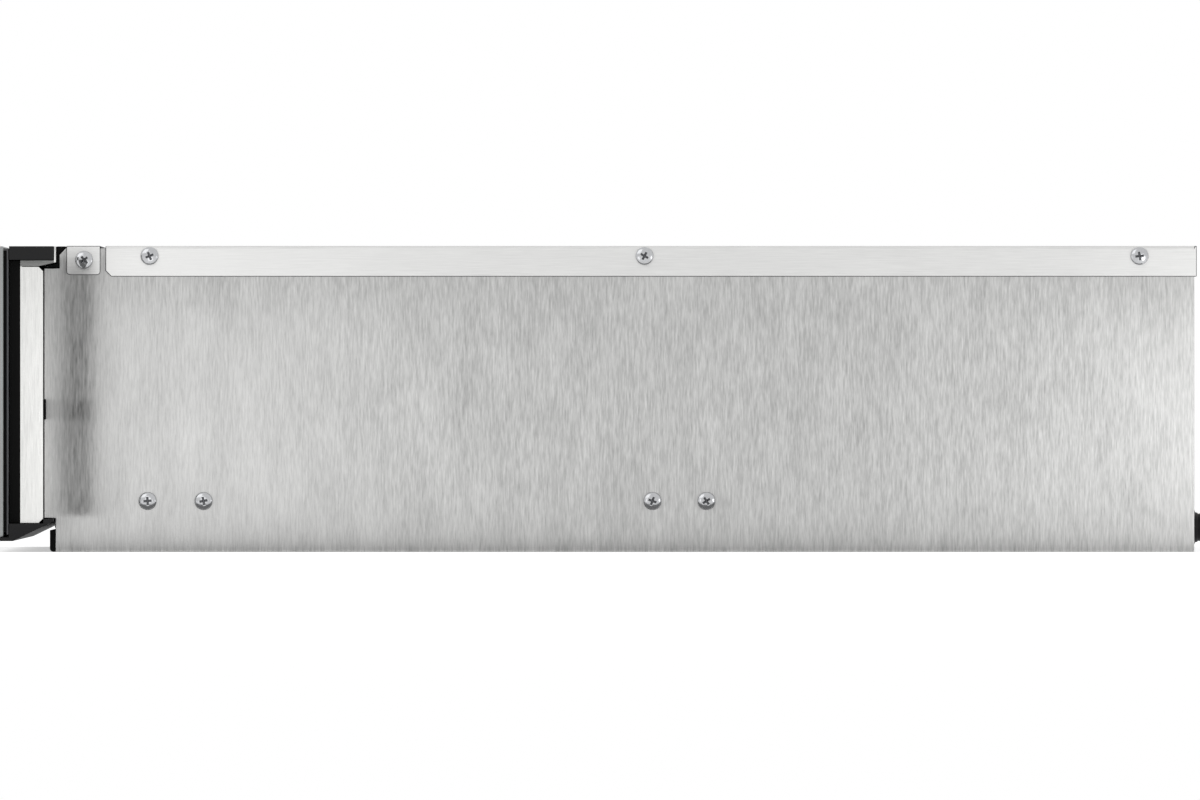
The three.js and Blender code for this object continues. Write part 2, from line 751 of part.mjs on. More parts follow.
function frontTopRail() {
  const lipHalf = sideInner - GAP
  const half = CASING_WIDTH / 2
  const front = RAIL_FRONT + LID_SHEET / 2
  const back = RAIL_FRONT + RAIL_DEPTH - LID_SHEET / 2
  const roof = HEIGHT - LID_SHEET / 2
  const low = HEIGHT - RAIL_LIP
  const channel = bentSheet([[front, low], [front, roof], [back, roof], [back, low]], LID_SHEET)
  const tab = new THREE.Shape()
  const tabBack = RAIL_FRONT + RAIL_DEPTH
  const tabLow = HEIGHT - TAB_HEIGHT
  tab.moveTo(RAIL_FRONT, HEIGHT)
  tab.lineTo(RAIL_FRONT, tabLow + TAB_CORNER)
  tab.absarc(RAIL_FRONT + TAB_CORNER, tabLow + TAB_CORNER, TAB_CORNER, Math.PI, 1.5 * Math.PI)
  tab.absarc(tabBack - TAB_CORNER, tabLow + TAB_CORNER, TAB_CORNER, 1.5 * Math.PI, 2 * Math.PI)
  tab.lineTo(tabBack, HEIGHT)
  const rail = joined([
    alongX(channel, -lipHalf, lipHalf),
    block(-half, half, RAIL_FRONT, tabBack, lidUnderside, HEIGHT),
    alongX(tab, half - LID_SHEET, half),
    alongX(tab, -half, LID_SHEET - half),
  ])
  const reach = half + OVERRUN
  return cut(rail, [screwHoles([railScrewPlace], HEIGHT - RAIL_SCREW_DROP, [-reach, reach])])
}

// The seal stands on the front of the rail and reaches forward under the rising hem of the drawer.
function frontSeal() {
  const front = casingFront + GAP
  const rise = (hemUnderside - panTop - GAP) / (panLipBack - hemFoldBack)
  const footTop = panTop - GAP + (front - hemFoldBack) * rise
  const section = outline([
    [front, sideTopNotch + GAP],
    [RAIL_FRONT - GAP, sideTopNotch + GAP],
    [RAIL_FRONT - GAP, glassTop],
    [panLipBack + GAP, glassTop],
    [panLipBack + GAP, hemUnderside - 2 * GAP],
    [front, footTop],
  ])
  return alongX(section, GAP - sideInner, sideInner - GAP)
}

function frontSill() {
  const back = sideNotchFront - GAP
  const front = back - SILL_THICKNESS
  const bar = new THREE.Shape()
  bar.moveTo(front, SILL_HEIGHT)
  bar.lineTo(front, SILL_RADIUS)
  bar.absarc(front + SILL_RADIUS, SILL_RADIUS, SILL_RADIUS, Math.PI, 1.5 * Math.PI)
  bar.lineTo(back, 0)
  bar.lineTo(back, SILL_HEIGHT)
  const tongue = block(
    GAP - sideInner + CASING_SHEET + GAP,
    sideInner - GAP - CASING_SHEET - GAP,
    back - GAP,
    back + SILL_TONGUE,
    CASING_SHEET + GAP,
    2 * CASING_SHEET + GAP,
  )
  return alongX(bar, -sideOuter, sideOuter).add(tongue)
}

// ---- Screws, threaded into the sheet behind them ----
function screwHoles(places, height, [from, to]) {
  return holesAlongX(places, height, SCREW_RADIUS + GAP, from, to)
}

function panHeadScrew(side, face, place, height, reach) {
  const seat = GAP / 2
  const geometry = turned([
    [0, -reach],
    [SCREW_RADIUS, -reach],
    [SCREW_RADIUS, seat],
    [SCREW_HEAD_RADIUS, seat],
    [SCREW_HEAD_RADIUS, seat + SCREW_RIM_HEIGHT],
    [SCREW_CROWN_RADIUS, seat + SCREW_CROWN_HEIGHT],
    [0, seat + SCREW_HEAD_HEIGHT],
  ], SCREW_SIDES)
  geometry.rotateZ((-side * Math.PI) / 2)
  geometry.translate(side * face, place, height)
  return solidOf(geometry)
}

function lidScrew(side, place) {
  const reach = CASING_WIDTH / 2 - sideInner + SCREW_REACH
  return panHeadScrew(side, CASING_WIDTH / 2, place, HEIGHT - LID_SCREW_DROP, reach)
}

function railScrew(side) {
  const reach = CASING_WIDTH / 2 - sideInner + SCREW_REACH
  return panHeadScrew(side, CASING_WIDTH / 2, railScrewPlace, HEIGHT - RAIL_SCREW_DROP, reach)
}

function runnerScrew(side, place) {
  const reach = sideOuter - runnerWall + RUNNER_SHEET
  return panHeadScrew(side, sideOuter, place, RUNNER_CENTRE, reach)
}

// ---- Ball runners, drawn as a section and swept along the depth ----
// The three members nest: the outer one on the casing, the middle one, the inner one on the
// drawer. Their flanges are the ball races, and a cage of balls runs between each two.
const outerHalf = RUNNER_HEIGHT / 2 - RUNNER_SHEET / 2
const raceStep = RUNNER_SHEET + BALL_DIAMETER + 2 * GAP
const middleHalf = outerHalf - raceStep
const innerHalf = middleHalf - raceStep
const outerCageWeb = RUNNER_SHEET + GAP + CAGE_SHEET / 2
const middleWeb = outerCageWeb + CAGE_SHEET / 2 + GAP + RUNNER_SHEET / 2
const innerCageWeb = middleWeb + RUNNER_SHEET / 2 + GAP + CAGE_SHEET / 2
const outerTip = RUNNER_WIDTH - OUTER_SETBACK - RUNNER_SHEET / 2
const middleTip = RUNNER_WIDTH - MIDDLE_SETBACK - RUNNER_SHEET / 2

// A section's points are (distance from the casing wall, height from the runner's middle).
function runnerSection(side, path, thickness) {
  const places = path.map(([away, height]) => [side * (runnerWall - away), RUNNER_CENTRE + height])
  return bentSheet(places, thickness, RUNNER_BEND)
}

function upAndDown(half) {
  return [...half, ...half.map(([away, height]) => [away, -height]).reverse()]
}

function outerRunner(side) {
  const path = upAndDown([
    [outerTip, outerHalf - HOOK],
    [outerTip, outerHalf],
    [RUNNER_SHEET / 2, outerHalf],
  ])
  const member = alongY(runnerSection(side, path, RUNNER_SHEET), RUNNER_FRONT, runnerBack)
  const reach = [side * (runnerWall + OVERRUN), side * (runnerWall - RUNNER_SHEET - OVERRUN)]
  return cut(member, [screwHoles(runnerScrewPlaces, RUNNER_CENTRE, reach)])
}

function middleRunner(side) {
  const path = upAndDown([
    [middleTip, middleHalf - HOOK + GAP],
    [middleTip, middleHalf],
    [middleWeb, middleHalf],
  ])
  return alongY(runnerSection(side, path, RUNNER_SHEET), RUNNER_FRONT, runnerBack)
}

function innerRunner(side) {
  const web = RUNNER_WIDTH - RUNNER_SHEET / 2
  const path = upAndDown([[innerCageWeb + CAGE_SHEET / 2 + GAP, innerHalf], [web, innerHalf]])
  return alongY(runnerSection(side, path, RUNNER_SHEET), RUNNER_FRONT, runnerBack)
}

// A cage is a thin channel that holds a row of balls in each race.
function ballCage(side, web, race, tip) {
  const reach = tip - RUNNER_SHEET / 2 - GAP
  const path = upAndDown([[reach, race], [web, race]])
  const front = RUNNER_FRONT + CAGE_END_ROOM
  const back = runnerBack - CAGE_END_ROOM
  const strip = alongY(runnerSection(side, path, CAGE_SHEET), front, back)
  const middle = (front + back) / 2
  const ballAway = (web + RUNNER_SHEET + reach) / 2
  const pitch = (back - front - 2 * CAGE_MARGIN) / (BALLS - 1)
  const balls = [race, -race].flatMap((height) => row(BALLS, pitch, (y) => {
    const ball = new THREE.SphereGeometry(BALL_DIAMETER / 2, BALL_SIDES, BALL_SIDES / 2)
    ball.translate(side * (runnerWall - ballAway), middle + y, RUNNER_CENTRE + height)
    return solidOf(ball)
  }))
  return joined([strip, ...balls])
}

function outerCage(side) {
  return ballCage(side, outerCageWeb, outerHalf - raceStep / 2, outerTip)
}

function innerCage(side) {
  return ballCage(side, innerCageWeb, middleHalf - raceStep / 2, middleTip)
}

// ---- Drawer box ----
function drawerSide(side) {
  const inner = drawerInner + DRAWER_SHEET / 2
  const outer = drawerOuter - DRAWER_SHEET / 2
  const top = drawerTop - DRAWER_SHEET / 2
  const path = [
    [side * inner, baseGlassTop + GAP],
    [side * inner, top],
    [side * outer, top],
    [side * outer, drawerBottom],
  ]
  const channel = alongY(bentSheet(path, DRAWER_SHEET), drawerFront, drawerBackFront - GAP)
  const lipEnd = side * (drawerOuter + OVERRUN)
  const lipRoom = block(side * inner, lipEnd, carrierFront, capBack + GAP, 0, sideNotchTop)
  return cut(channel, [lipRoom])
}

function drawerFloor() {
  const half = trayHalf - DRAWER_SHEET / 2
  const low = drawerBottom + DRAWER_SHEET / 2
  const top = trayTop - DRAWER_SHEET / 2
  const path = mirroredX([[TRAY_FLANGE - half, top], [-half, top], [-half, low]])
  const tray = alongY(bentSheet(path, DRAWER_SHEET), trayFront, drawerBackFront - GAP)
  const frontWall = block(
    DRAWER_SHEET - half,
    half - DRAWER_SHEET,
    trayFront,
    trayFront + DRAWER_SHEET,
    low,
    trayTop - DRAWER_SHEET - GAP,
  )
  return tray.add(frontWall)
}

function drawerBack() {
  const front = drawerBackFront + DRAWER_SHEET / 2
  const top = drawerTop - DRAWER_SHEET / 2
  const path = [[front, drawerBottom], [front, top], [front + TRAY_FLANGE, top]]
  const sheet = alongX(bentSheet(path, DRAWER_SHEET), -drawerOuter, drawerOuter)
  const rows = Math.floor((2 * (impellerRadius - SLOT_WIDTH)) / GRILLE_PITCH) + 1
  const intake = row(rows, GRILLE_PITCH, (z) => {
    const chord = 2 * Math.sqrt(impellerRadius ** 2 - z ** 2)
    return levelSlot(0, fanHeight + z, chord)
  })
  const outlets = [-OUTLET_OFFSET, OUTLET_OFFSET].flatMap((x) => (
    row(OUTLET_SLOTS, GRILLE_PITCH, (across) => uprightSlot(x + across, fanHeight, OUTLET_LENGTH))
  ))
  const slots = [...intake, ...outlets]
  return cut(sheet, [alongY(slots, drawerBackFront - OVERRUN, housingFront)])
}

function baseGlass() {
  const back = drawerBackFront - GAP
  const plate = rectangle(-trayHalf, trayHalf, drawerFront, back, BASE_GLASS_CORNER)
  return alongZ(plate, baseGlassBottom, baseGlassTop, BASE_GLASS_CHAMFER)
}

function insulationBoard() {
  const half = trayHalf - DRAWER_SHEET - GAP
  const front = trayFront + DRAWER_SHEET + GAP
  const top = insulationBottom + INSULATION_THICKNESS
  return block(-half, half, front, drawerBackFront - 2 * GAP, insulationBottom, top)
}

// The heater is one tube laid in level runs joined by half turns.
class HeaterRoute extends THREE.Curve {
  constructor(stations) {
    super()
    this.stations = stations
  }

  getPoint(t) {
    const place = t * (this.stations.length - 1)
    const index = Math.min(Math.floor(place), this.stations.length - 2)
    return this.stations[index].clone().lerp(this.stations[index + 1], place - index)
  }

  getPointAt(t) {
    return this.getPoint(t)
  }

  getTangentAt(t) {
    return this.getTangent(t)
  }
}

function heatingElement() {
  const height = heaterBottom + HEATER_RADIUS
  const ends = [trayFront + HEATER_END_MARGIN, drawerBackFront - HEATER_END_MARGIN]
  const bendRadius = (trayHalf - HEATER_SIDE_MARGIN) / (HEATER_RUNS - 1)
  const stations = []
  row(HEATER_RUNS, 2 * bendRadius, (x) => x).forEach((x, run) => {
    const forward = run % 2 === 0
    const [from, to] = forward ? [ends[1], ends[0]] : ends
    stations.push(new THREE.Vector3(x, from, height))
    stations.push(new THREE.Vector3(x, to, height))
    for (let step = 1; step < HEATER_BEND_STEPS && run < HEATER_RUNS - 1; step++) {
      const angle = (Math.PI * step) / HEATER_BEND_STEPS
      const bulge = (forward ? -1 : 1) * bendRadius * Math.sin(angle)
      const across = bendRadius * (1 - Math.cos(angle))
      stations.push(new THREE.Vector3(x + across, to + bulge, height))
    }
  })
  const tube = new THREE.ExtrudeGeometry(polygon(HEATER_SIDES, HEATER_RADIUS), {
    extrudePath: new HeaterRoute(stations),
    steps: stations.length - 1,
  })
  return solidOf(tube)
}

// The radius is to the middle of each flat.
function polygon(sides, radius) {
  const corner = radius / Math.cos(Math.PI / sides)
  return outline(Array.from({ length: sides }, (_, i) => {
    const angle = (2 * Math.PI * (i + 0.5)) / sides
    return [corner * Math.cos(angle), corner * Math.sin(angle)]
  }))
}

// ---- Fan ----
function fanHousing() {
  const half = HOUSING_HALF_WIDTH
  const low = fanHeight - housingHalfHeight
  const high = fanHeight + housingHalfHeight
  const sheet = DRAWER_SHEET
  const corner = HOUSING_CORNER
  const mouth = () => rectangle(sheet - half, half - sheet, low + sheet, high - sheet, corner - sheet)
  const box = alongY(rectangle(-half, half, low, high, corner), housingFront, housingBack)
  const hollow = alongY(mouth(), housingFront - OVERRUN, housingBack - sheet)
  const rim = rectangle(
    -half - HOUSING_FLANGE,
    half + HOUSING_FLANGE,
    low - HOUSING_FLANGE,
    high + HOUSING_FLANGE,
    corner,
  )
  rim.holes.push(mouth())
  const shaftHole = circle(0, fanHeight, SHAFT_RADIUS + SHAFT_HOLE_ROOM)
  return cut(box.subtract(hollow).add(alongY(rim, housingFront, housingFront + sheet)), [
    alongY(shaftHole, housingBack - 2 * sheet, housingBack + OVERRUN),
  ])
}

function turnedAtFanHeight(profile, x, sides) {
  const geometry = turned(profile, sides)
  geometry.translate(x, 0, fanHeight)
  return solidOf(geometry)
}

function fanMotor() {
  const bore = SHAFT_RADIUS + BEARING_CLEARANCE
  const bottom = motorFront + SHAFT_REACH + SHAFT_END_ROOM
  const back = motorFront + MOTOR_LENGTH
  return turnedAtFanHeight([
    [0, bottom],
    [bore, bottom],
    [bore, motorFront],
    [MOTOR_RADIUS, motorFront],
    [MOTOR_RADIUS, back - MOTOR_CHAMFER],
    [MOTOR_RADIUS - MOTOR_CHAMFER, back],
    [MOTOR_BOSS_RADIUS, back],
    [MOTOR_BOSS_RADIUS, back + MOTOR_BOSS_LENGTH],
    [0, back + MOTOR_BOSS_LENGTH],
  ], 0)
}

function fanImpeller() {
  const discFront = discBack - IMPELLER_DISC
  const front = discFront - IMPELLER_WIDTH
  const hubFront = front + HUB_SETBACK
  const wheel = turnedAtFanHeight([
    [0, hubFront],
    [HUB_RADIUS - HUB_CHAMFER, hubFront],
    [HUB_RADIUS, hubFront + HUB_CHAMFER],
    [HUB_RADIUS, discFront],
    [impellerRadius, discFront],
    [impellerRadius, discBack],
    [SHAFT_RADIUS, discBack],
    [SHAFT_RADIUS, motorFront + SHAFT_REACH],
    [0, motorFront + SHAFT_REACH],
  ], 0, IMPELLER_SIDES)
  const blades = Array.from({ length: BLADES }, (_, i) => (
    alongY(bladeOutline((2 * Math.PI * i) / BLADES), front, discFront + IMPELLER_DISC / 2)
  ))
  return joined([wheel, ...blades])
}

// A blade leans back in a curve from the eye to the rim.
function bladeOutline(start) {
  const rim = impellerRadius - BLADE_RIM_INSET
  const edge = (offset) => Array.from({ length: BLADE_STEPS + 1 }, (_, i) => {
    const t = i / BLADE_STEPS
    const radius = IMPELLER_EYE + (rim - IMPELLER_EYE) * t
    const angle = start + BLADE_SWEEP * t ** BLADE_CURVE + offset / radius
    return [radius * Math.cos(angle), fanHeight + radius * Math.sin(angle)]
  })
  return outline([...edge(-BLADE_THICKNESS / 2), ...edge(BLADE_THICKNESS / 2).reverse()])
}

function thermalLimiter() {
  const back = motorFront + LIMITER_HEIGHT
  const can = turnedAtFanHeight([
    [0, motorFront],
    [LIMITER_RADIUS, motorFront],
    [LIMITER_RADIUS, back],
    [0, back],
  ], LIMITER_OFFSET)
  const blades = [-1, 1].map((side) => {
    const x = LIMITER_OFFSET + side * (LIMITER_RADIUS - LIMITER_BLADE_INSET)
    const half = LIMITER_BLADE_WIDTH / 2
    const left = x - LIMITER_BLADE_THICKNESS / 2
    const right = x + LIMITER_BLADE_THICKNESS / 2
    const root = back - LIMITER_BLADE_THICKNESS
    return block(left, right, root, back + LIMITER_BLADE_LENGTH, fanHeight - half, fanHeight + half)
  })
  return joined([can, ...blades])
}

// ---- Mains inlet ----
function cableGland() {
  const nut = backFront - GAP
  const face = backRear + GAP
  const geometry = turned([
    [GLAND_BORE, nut - GLAND_NUT],
    [GLAND_FLANGE, nut - GLAND_NUT],
    [GLAND_FLANGE, nut],
    [GLAND_RADIUS, nut],
    [GLAND_RADIUS, face],
    [GLAND_FLANGE, face],
    [GLAND_FLANGE, CASING_DEPTH],
    [GLAND_RADIUS, CASING_DEPTH + GLAND_SHOULDER],
    [GLAND_NOSE_RADIUS, CASING_DEPTH + GLAND_NOSE],
    [GLAND_BORE, CASING_DEPTH + GLAND_NOSE],
    [GLAND_BORE, nut - GLAND_NUT],
  ])
  geometry.translate(glandPlace, 0, GLAND_HEIGHT)
  return solidOf(geometry)
}

function terminalBlock() {
  const back = backFront - GAP - GLAND_NUT - TERMINAL_ROOM
  const front = back - TERMINAL_DEPTH
  const bottom = CASING_SHEET + GAP
  const top = bottom + TERMINAL_HEIGHT
  const body = block(
    glandPlace - TERMINAL_WIDTH / 2,
    glandPlace + TERMINAL_WIDTH / 2,
    front,
    back,
    bottom,
    top,
  )
  const wells = row(TERMINAL_POLES, TERMINAL_WIDTH / TERMINAL_POLES, (x) => (
    circle(glandPlace + x, (front + back) / 2, TERMINAL_SCREW_RADIUS)
  ))
  return cut(body, [alongZ(wells, top - TERMINAL_HEIGHT / 2, top + OVERRUN)])
}

// ---- Materials ----
function finish(color, roughness, metalness) {
  return () => new THREE.MeshStandardMaterial({ color, roughness, metalness })
}

const brushedSteel = finish(0xc6c6c4, 0.36, 1)
const zincSteel = finish(0xb4b6b8, 0.42, 1)
const brightSteel = finish(0xd8d9da, 0.25, 1)
const blackGlass = finish(0x0c0d0e, 0.06, 0)
const blackPlastic = finish(0x1c1c1d, 0.45, 0)
const blackPaint = finish(0x202021, 0.5, 0)
const blackRubber = finish(0x191919, 0.85, 0)
const darkGlass = finish(0x2a2b2d, 0.08, 0)
const greyBoard = finish(0xb9b4a8, 0.9, 0)
const greenBoard = finish(0x2f5a3c, 0.5, 0)
const darkMetal = finish(0x55565a, 0.5, 1)
const whitePlastic = finish(0xe2e0da, 0.5, 0)
const smokedLens = finish(0x40464b, 0.15, 0)

// ---- Assembly ----
const warmingDrawer = new THREE.Group()
warmingDrawer.position.y = -overallDepth / 2

function add(name, material, solid) {
  const mesh = new THREE.Mesh(geometryOf(solid), material())
  mesh.name = name
  warmingDrawer.add(mesh)
}

add('front_glass', blackGlass, frontGlass())
add('glass_tape', blackRubber, glassTape())
add('glass_backplate', zincSteel, glassBackplate())
add('door_carrier', blackPaint, doorCarrier())
add('front_pan', brushedSteel, frontPan())
add('door_top_cap', blackPlastic, doorTopCap())
add('door_grip_lip', blackPlastic, gripLip())
add('control_board', greenBoard, controlBoard())
add('indicator_lens', smokedLens, indicatorLens())
add('power_key', blackPlastic, key(keyPlaces()[0]))
add('temperature_key', blackPlastic, key(keyPlaces()[1]))

add('bottom_pan', zincSteel, bottomPan())
add('back_panel', zincSteel, backPanel())
add('top_cover', brushedSteel, topCover())
add('front_top_rail', brushedSteel, frontTopRail())
add('front_sill', blackRubber, frontSill())
add('front_seal', blackRubber, frontSeal())

const sides = { right: 1, left: -1 }
for (const [hand, side] of Object.entries(sides)) {
  add(`${hand}_side_panel`, brushedSteel, sidePanel(side))
  add(`${hand}_buffer`, blackRubber, buffer(side))
  add(`${hand}_drawer_side`, brushedSteel, drawerSide(side))
  add(`${hand}_outer_runner`, zincSteel, outerRunner(side))
  add(`${hand}_middle_runner`, zincSteel, middleRunner(side))
  add(`${hand}_inner_runner`, zincSteel, innerRunner(side))
  add(`${hand}_outer_ball_cage`, darkMetal, outerCage(side))
  add(`${hand}_inner_ball_cage`, darkMetal, innerCage(side))
  add(`${hand}_rail_screw`, brightSteel, railScrew(side))
  lidScrewPlaces.forEach((place, i) => {
    add(`${hand}_lid_screw_${i + 1}`, brightSteel, lidScrew(side, place))
  })
  runnerScrewPlaces.forEach((place, i) => {
    add(`${hand}_runner_screw_${i + 1}`, brightSteel, runnerScrew(side, place))
  })
}

add('drawer_floor', zincSteel, drawerFloor())
add('drawer_back', brushedSteel, drawerBack())
add('base_glass', darkGlass, baseGlass())
add('insulation_board', greyBoard, insulationBoard())
add('heating_element', darkMetal, heatingElement())
add('fan_housing', zincSteel, fanHousing())
add('fan_impeller', brightSteel, fanImpeller())
add('fan_motor', darkMetal, fanMotor())
add('thermal_limiter', whitePlastic, thermalLimiter())
add('cable_gland', blackRubber, cableGland())
add('terminal_block', whitePlastic, terminalBlock())

export default warmingDrawer
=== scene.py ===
"""A built-in warming drawer with a black glass front, seen square on to its steel side.
Metres, +X to the right of the front, +Y towards the wall, +Z up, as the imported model."""
import math

import bmesh
import bpy
from mathutils import Matrix, Vector


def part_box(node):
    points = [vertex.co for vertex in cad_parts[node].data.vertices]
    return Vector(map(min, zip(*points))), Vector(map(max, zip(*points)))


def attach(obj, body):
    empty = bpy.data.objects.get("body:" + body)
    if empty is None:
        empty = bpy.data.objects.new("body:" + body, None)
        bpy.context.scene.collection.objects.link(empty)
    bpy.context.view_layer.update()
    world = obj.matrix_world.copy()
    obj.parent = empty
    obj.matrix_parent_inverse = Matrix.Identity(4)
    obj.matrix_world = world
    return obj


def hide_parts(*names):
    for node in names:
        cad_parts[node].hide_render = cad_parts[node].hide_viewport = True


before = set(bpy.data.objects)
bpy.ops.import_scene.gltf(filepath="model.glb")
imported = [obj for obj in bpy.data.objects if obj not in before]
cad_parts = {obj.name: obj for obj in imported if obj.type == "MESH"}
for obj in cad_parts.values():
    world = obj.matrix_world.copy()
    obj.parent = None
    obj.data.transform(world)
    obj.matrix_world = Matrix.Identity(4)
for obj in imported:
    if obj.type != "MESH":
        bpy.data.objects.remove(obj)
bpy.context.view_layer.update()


# ---------------------------------------------------------------------------
# The picture: a very long lens square on to the right-hand side, a white ground and
# backdrop, two small soft boxes beside the steel and three large ones round it.
# ---------------------------------------------------------------------------
PICTURE_SPAN = 0.549
CAMERA_DISTANCE = 16.0
PICTURE_CENTRE = Vector((0.28, -0.002, 0.0695))
SENSOR = 36
CLIP_END = 100
FLOOR_SIZE = 60
PLAIN_LIGHT = 0.55
FLOOR_GLOW = 0.5
WHITE = "#ffffff"
PAPER = "#f4f4f4"


def linear(hex_colour):
    """The linear colour of an sRGB hex value, with full alpha."""
    channels = [int(hex_colour[i:i + 2], 16) / 255 for i in (1, 3, 5)]
    return [c / 12.92 if c <= 0.04045 else ((c + 0.055) / 1.055) ** 2.4 for c in channels] + [1]


def add_node(tree, kind, settings=None, links=None):
    """Adds a node: settings are attributes or unlinked inputs, links join outputs to its inputs."""
    made = tree.nodes.new(kind)
    for key, value in (settings or {}).items():
        if isinstance(key, int) or key in made.inputs:
            made.inputs[key].default_value = value
        else:
            setattr(made, key, value)
    for key, output in (links or {}).items():
        tree.links.new(output, made.inputs[key])
    return made


camera = bpy.data.objects.new("camera", bpy.data.cameras.new("camera"))
bpy.context.collection.objects.link(camera)
camera.location = PICTURE_CENTRE + Vector((CAMERA_DISTANCE, 0, 0))
camera.rotation_euler = (math.pi / 2, 0, math.pi / 2)
camera.data.sensor_width = SENSOR
camera.data.lens = SENSOR * CAMERA_DISTANCE / PICTURE_SPAN
camera.data.clip_end = CLIP_END
bpy.context.scene.camera = camera
bpy.context.scene.view_settings.view_transform = "Standard"


def seen_directly(tree):
    """1 for camera, mirrored and transmitted rays and 0 for the light on the object."""
    ray = add_node(tree, "ShaderNodeLightPath")
    direct = add_node(tree, "ShaderNodeMath", {"operation": "MAXIMUM"},
                      {0: ray.outputs["Is Camera Ray"], 1: ray.outputs["Is Glossy Ray"]})
    either = add_node(tree, "ShaderNodeMath", {"operation": "MAXIMUM"},
                      {0: direct.outputs[0], 1: ray.outputs["Is Transmission Ray"]})
    return either.outputs[0]


# The world lights evenly from all round; the camera, metal and glass see it white.
world = bpy.data.worlds.new("studio")
bpy.context.scene.world = world
world.use_nodes = True
sky = world.node_tree
sky.nodes.clear()
lit = add_node(sky, "ShaderNodeBackground", {"Color": linear(WHITE), "Strength": PLAIN_LIGHT})
white = add_node(sky, "ShaderNodeBackground", {"Color": linear(WHITE), "Strength": 1.0})
mixed = add_node(sky, "ShaderNodeMixShader", links={
    0: seen_directly(sky), 1: lit.outputs[0], 2: white.outputs[0]})
add_node(sky, "ShaderNodeOutputWorld", links={"Surface": mixed.outputs[0]})


def soft_box(name, place, heading, width, height, power, mirrored=True):
    """An upright area lamp; its heading is in degrees round Z (0 looks along +Y), its power in watts."""
    lamp = bpy.data.lights.new(name, "AREA")
    lamp.shape = "RECTANGLE"
    lamp.size = width
    lamp.size_y = height
    lamp.energy = power
    holder = bpy.data.objects.new(name, lamp)
    bpy.context.collection.objects.link(holder)
    holder.visible_glossy = mirrored
    holder.location = place
    holder.rotation_euler = (math.pi / 2, 0, math.radians(heading))


# The small boxes make the steel's soft highlights, the high one the white spots on the screws.
# The two large low ones lift what faces forwards and back, and polished metal doesn't mirror them.
soft_box("rear_strip", (0.52, 0.37, 0.06), heading=108, width=0.12, height=0.11, power=0.12)
soft_box("front_strip", (0.52, -0.19, 0.06), heading=90, width=0.12, height=0.11, power=0.034)
soft_box("high_box", (1.1, -0.9, 1.1), heading=50, width=1.2, height=1.2, power=3.6)
soft_box("front_box", (-0.9, -3.0, 1.1), heading=-16, width=2.0, height=2.0, power=26, mirrored=False)
soft_box("rear_box", (-1.2, 3.0, 1.1), heading=-158, width=2.0, height=2.0, power=24, mirrored=False)

# Flags that only reflections show, each glowing its flat colour as a painted reflection: a grey one
# beside the front edge with a black patch level with the buffer, which paint a darker reflection on
# the steel side near its front edge, and a grey one on the ground that shades the lower half of the
# screws.
# Each has its lowest corner, its highest corner and its colour.
FLAGS = {
    "edge_flag": ((0.293, -0.2485, 0.0165), (0.2932, -0.2335, 0.134), "#7a7a7a"),
    "buffer_flag": ((0.292, -0.2485, 0.0604), (0.2922, -0.2335, 0.07), "#181818"),
    "ground_flag": ((0.281, -0.27, 0.0005), (0.33, 0.3, 0.0007), "#888888"),
}
for name, (low, high, reflection_colour) in FLAGS.items():
    low, high = Vector(low), Vector(high)
    bpy.ops.object.select_all(action="DESELECT")
    bpy.ops.mesh.primitive_cube_add(size=1)
    flag = bpy.context.object
    flag.name = name
    flag.data.transform(Matrix.Diagonal((*(high - low), 1)))
    flag.data.transform(Matrix.Translation((low + high) / 2))
    for ray in ("camera", "diffuse", "transmission", "shadow", "volume_scatter"):
        setattr(flag, f"visible_{ray}", False)
    painted_reflection = bpy.data.materials.new(f"{name}_felt")
    painted_reflection.use_nodes = True
    tree = painted_reflection.node_tree
    tree.nodes.clear()
    # A flat glow of the flag's colour: the painted reflection, not a lit cloth.
    reflected_glow = add_node(tree, "ShaderNodeEmission", {"Color": linear(reflection_colour), "Strength": 1.0})
    add_node(tree, "ShaderNodeOutputMaterial", links={"Surface": reflected_glow.outputs[0]})
    flag.data.materials.append(painted_reflection)

# The floor keeps the object's soft shadow and goes white to the camera away from it.
bpy.ops.object.select_all(action="DESELECT")
bpy.ops.mesh.primitive_plane_add(size=FLOOR_SIZE, location=(0, 0, 0))
floor = bpy.context.object
floor.name = "studio_floor"
paper = bpy.data.materials.new("white_paper_ground")
paper.use_nodes = True
tree = paper.node_tree
tree.nodes.clear()
matt = add_node(tree, "ShaderNodeBsdfDiffuse", {"Color": linear(PAPER)})
glow = add_node(tree, "ShaderNodeEmission", {"Color": linear(WHITE), "Strength": FLOOR_GLOW})
lifted = add_node(tree, "ShaderNodeAddShader", links={0: matt.outputs[0], 1: glow.outputs[0]})
shown = add_node(tree, "ShaderNodeMixShader", links={
    0: seen_directly(tree), 1: matt.outputs[0], 2: lifted.outputs[0]})
add_node(tree, "ShaderNodeOutputMaterial", links={"Surface": shown.outputs[0]})
floor.data.materials.append(paper)


# ---------------------------------------------------------------------------
# Bottom pan: 1 mm hot-dip zinc coated sheet, folded up at the sides and pressed
# with stiffening beads. The zinc has a small spangle and a soft, greyish gloss.
# ---------------------------------------------------------------------------
MM = 0.001
ZINC = "#a9abad"
ZINC_TONE = (0.84, 1.12)
ZINC_GLOSS = (0.36, 0.52)
ZINC_RELIEF = 0.12
ZINC_RELIEF_MM = 0.04
SPANGLE_MM = 7.0
SMUDGE_MM = 45.45
SMUDGE_SHARE = 0.45
MOTTLE_MM = 55.56
MOTTLE_SHARE = 0.4
GRAIN_RELIEF = 0.35
# The sheared edge's colour: dull cut sheet, darkened further as painted shade.
CUT_EDGE_AND_SHADE = "#4c4c4e"
NOISE_SPAN = (0.3, 0.7)
WHOLE_SPAN = (0, 1)
MERGE_MM = 0.01
FLAT_DEGREES = 0.5
SMOOTH_DEGREES = 35
EASE_STEPS = 2
FACE_WEIGHT = 100
SHEET_EASE_MM = 0.15


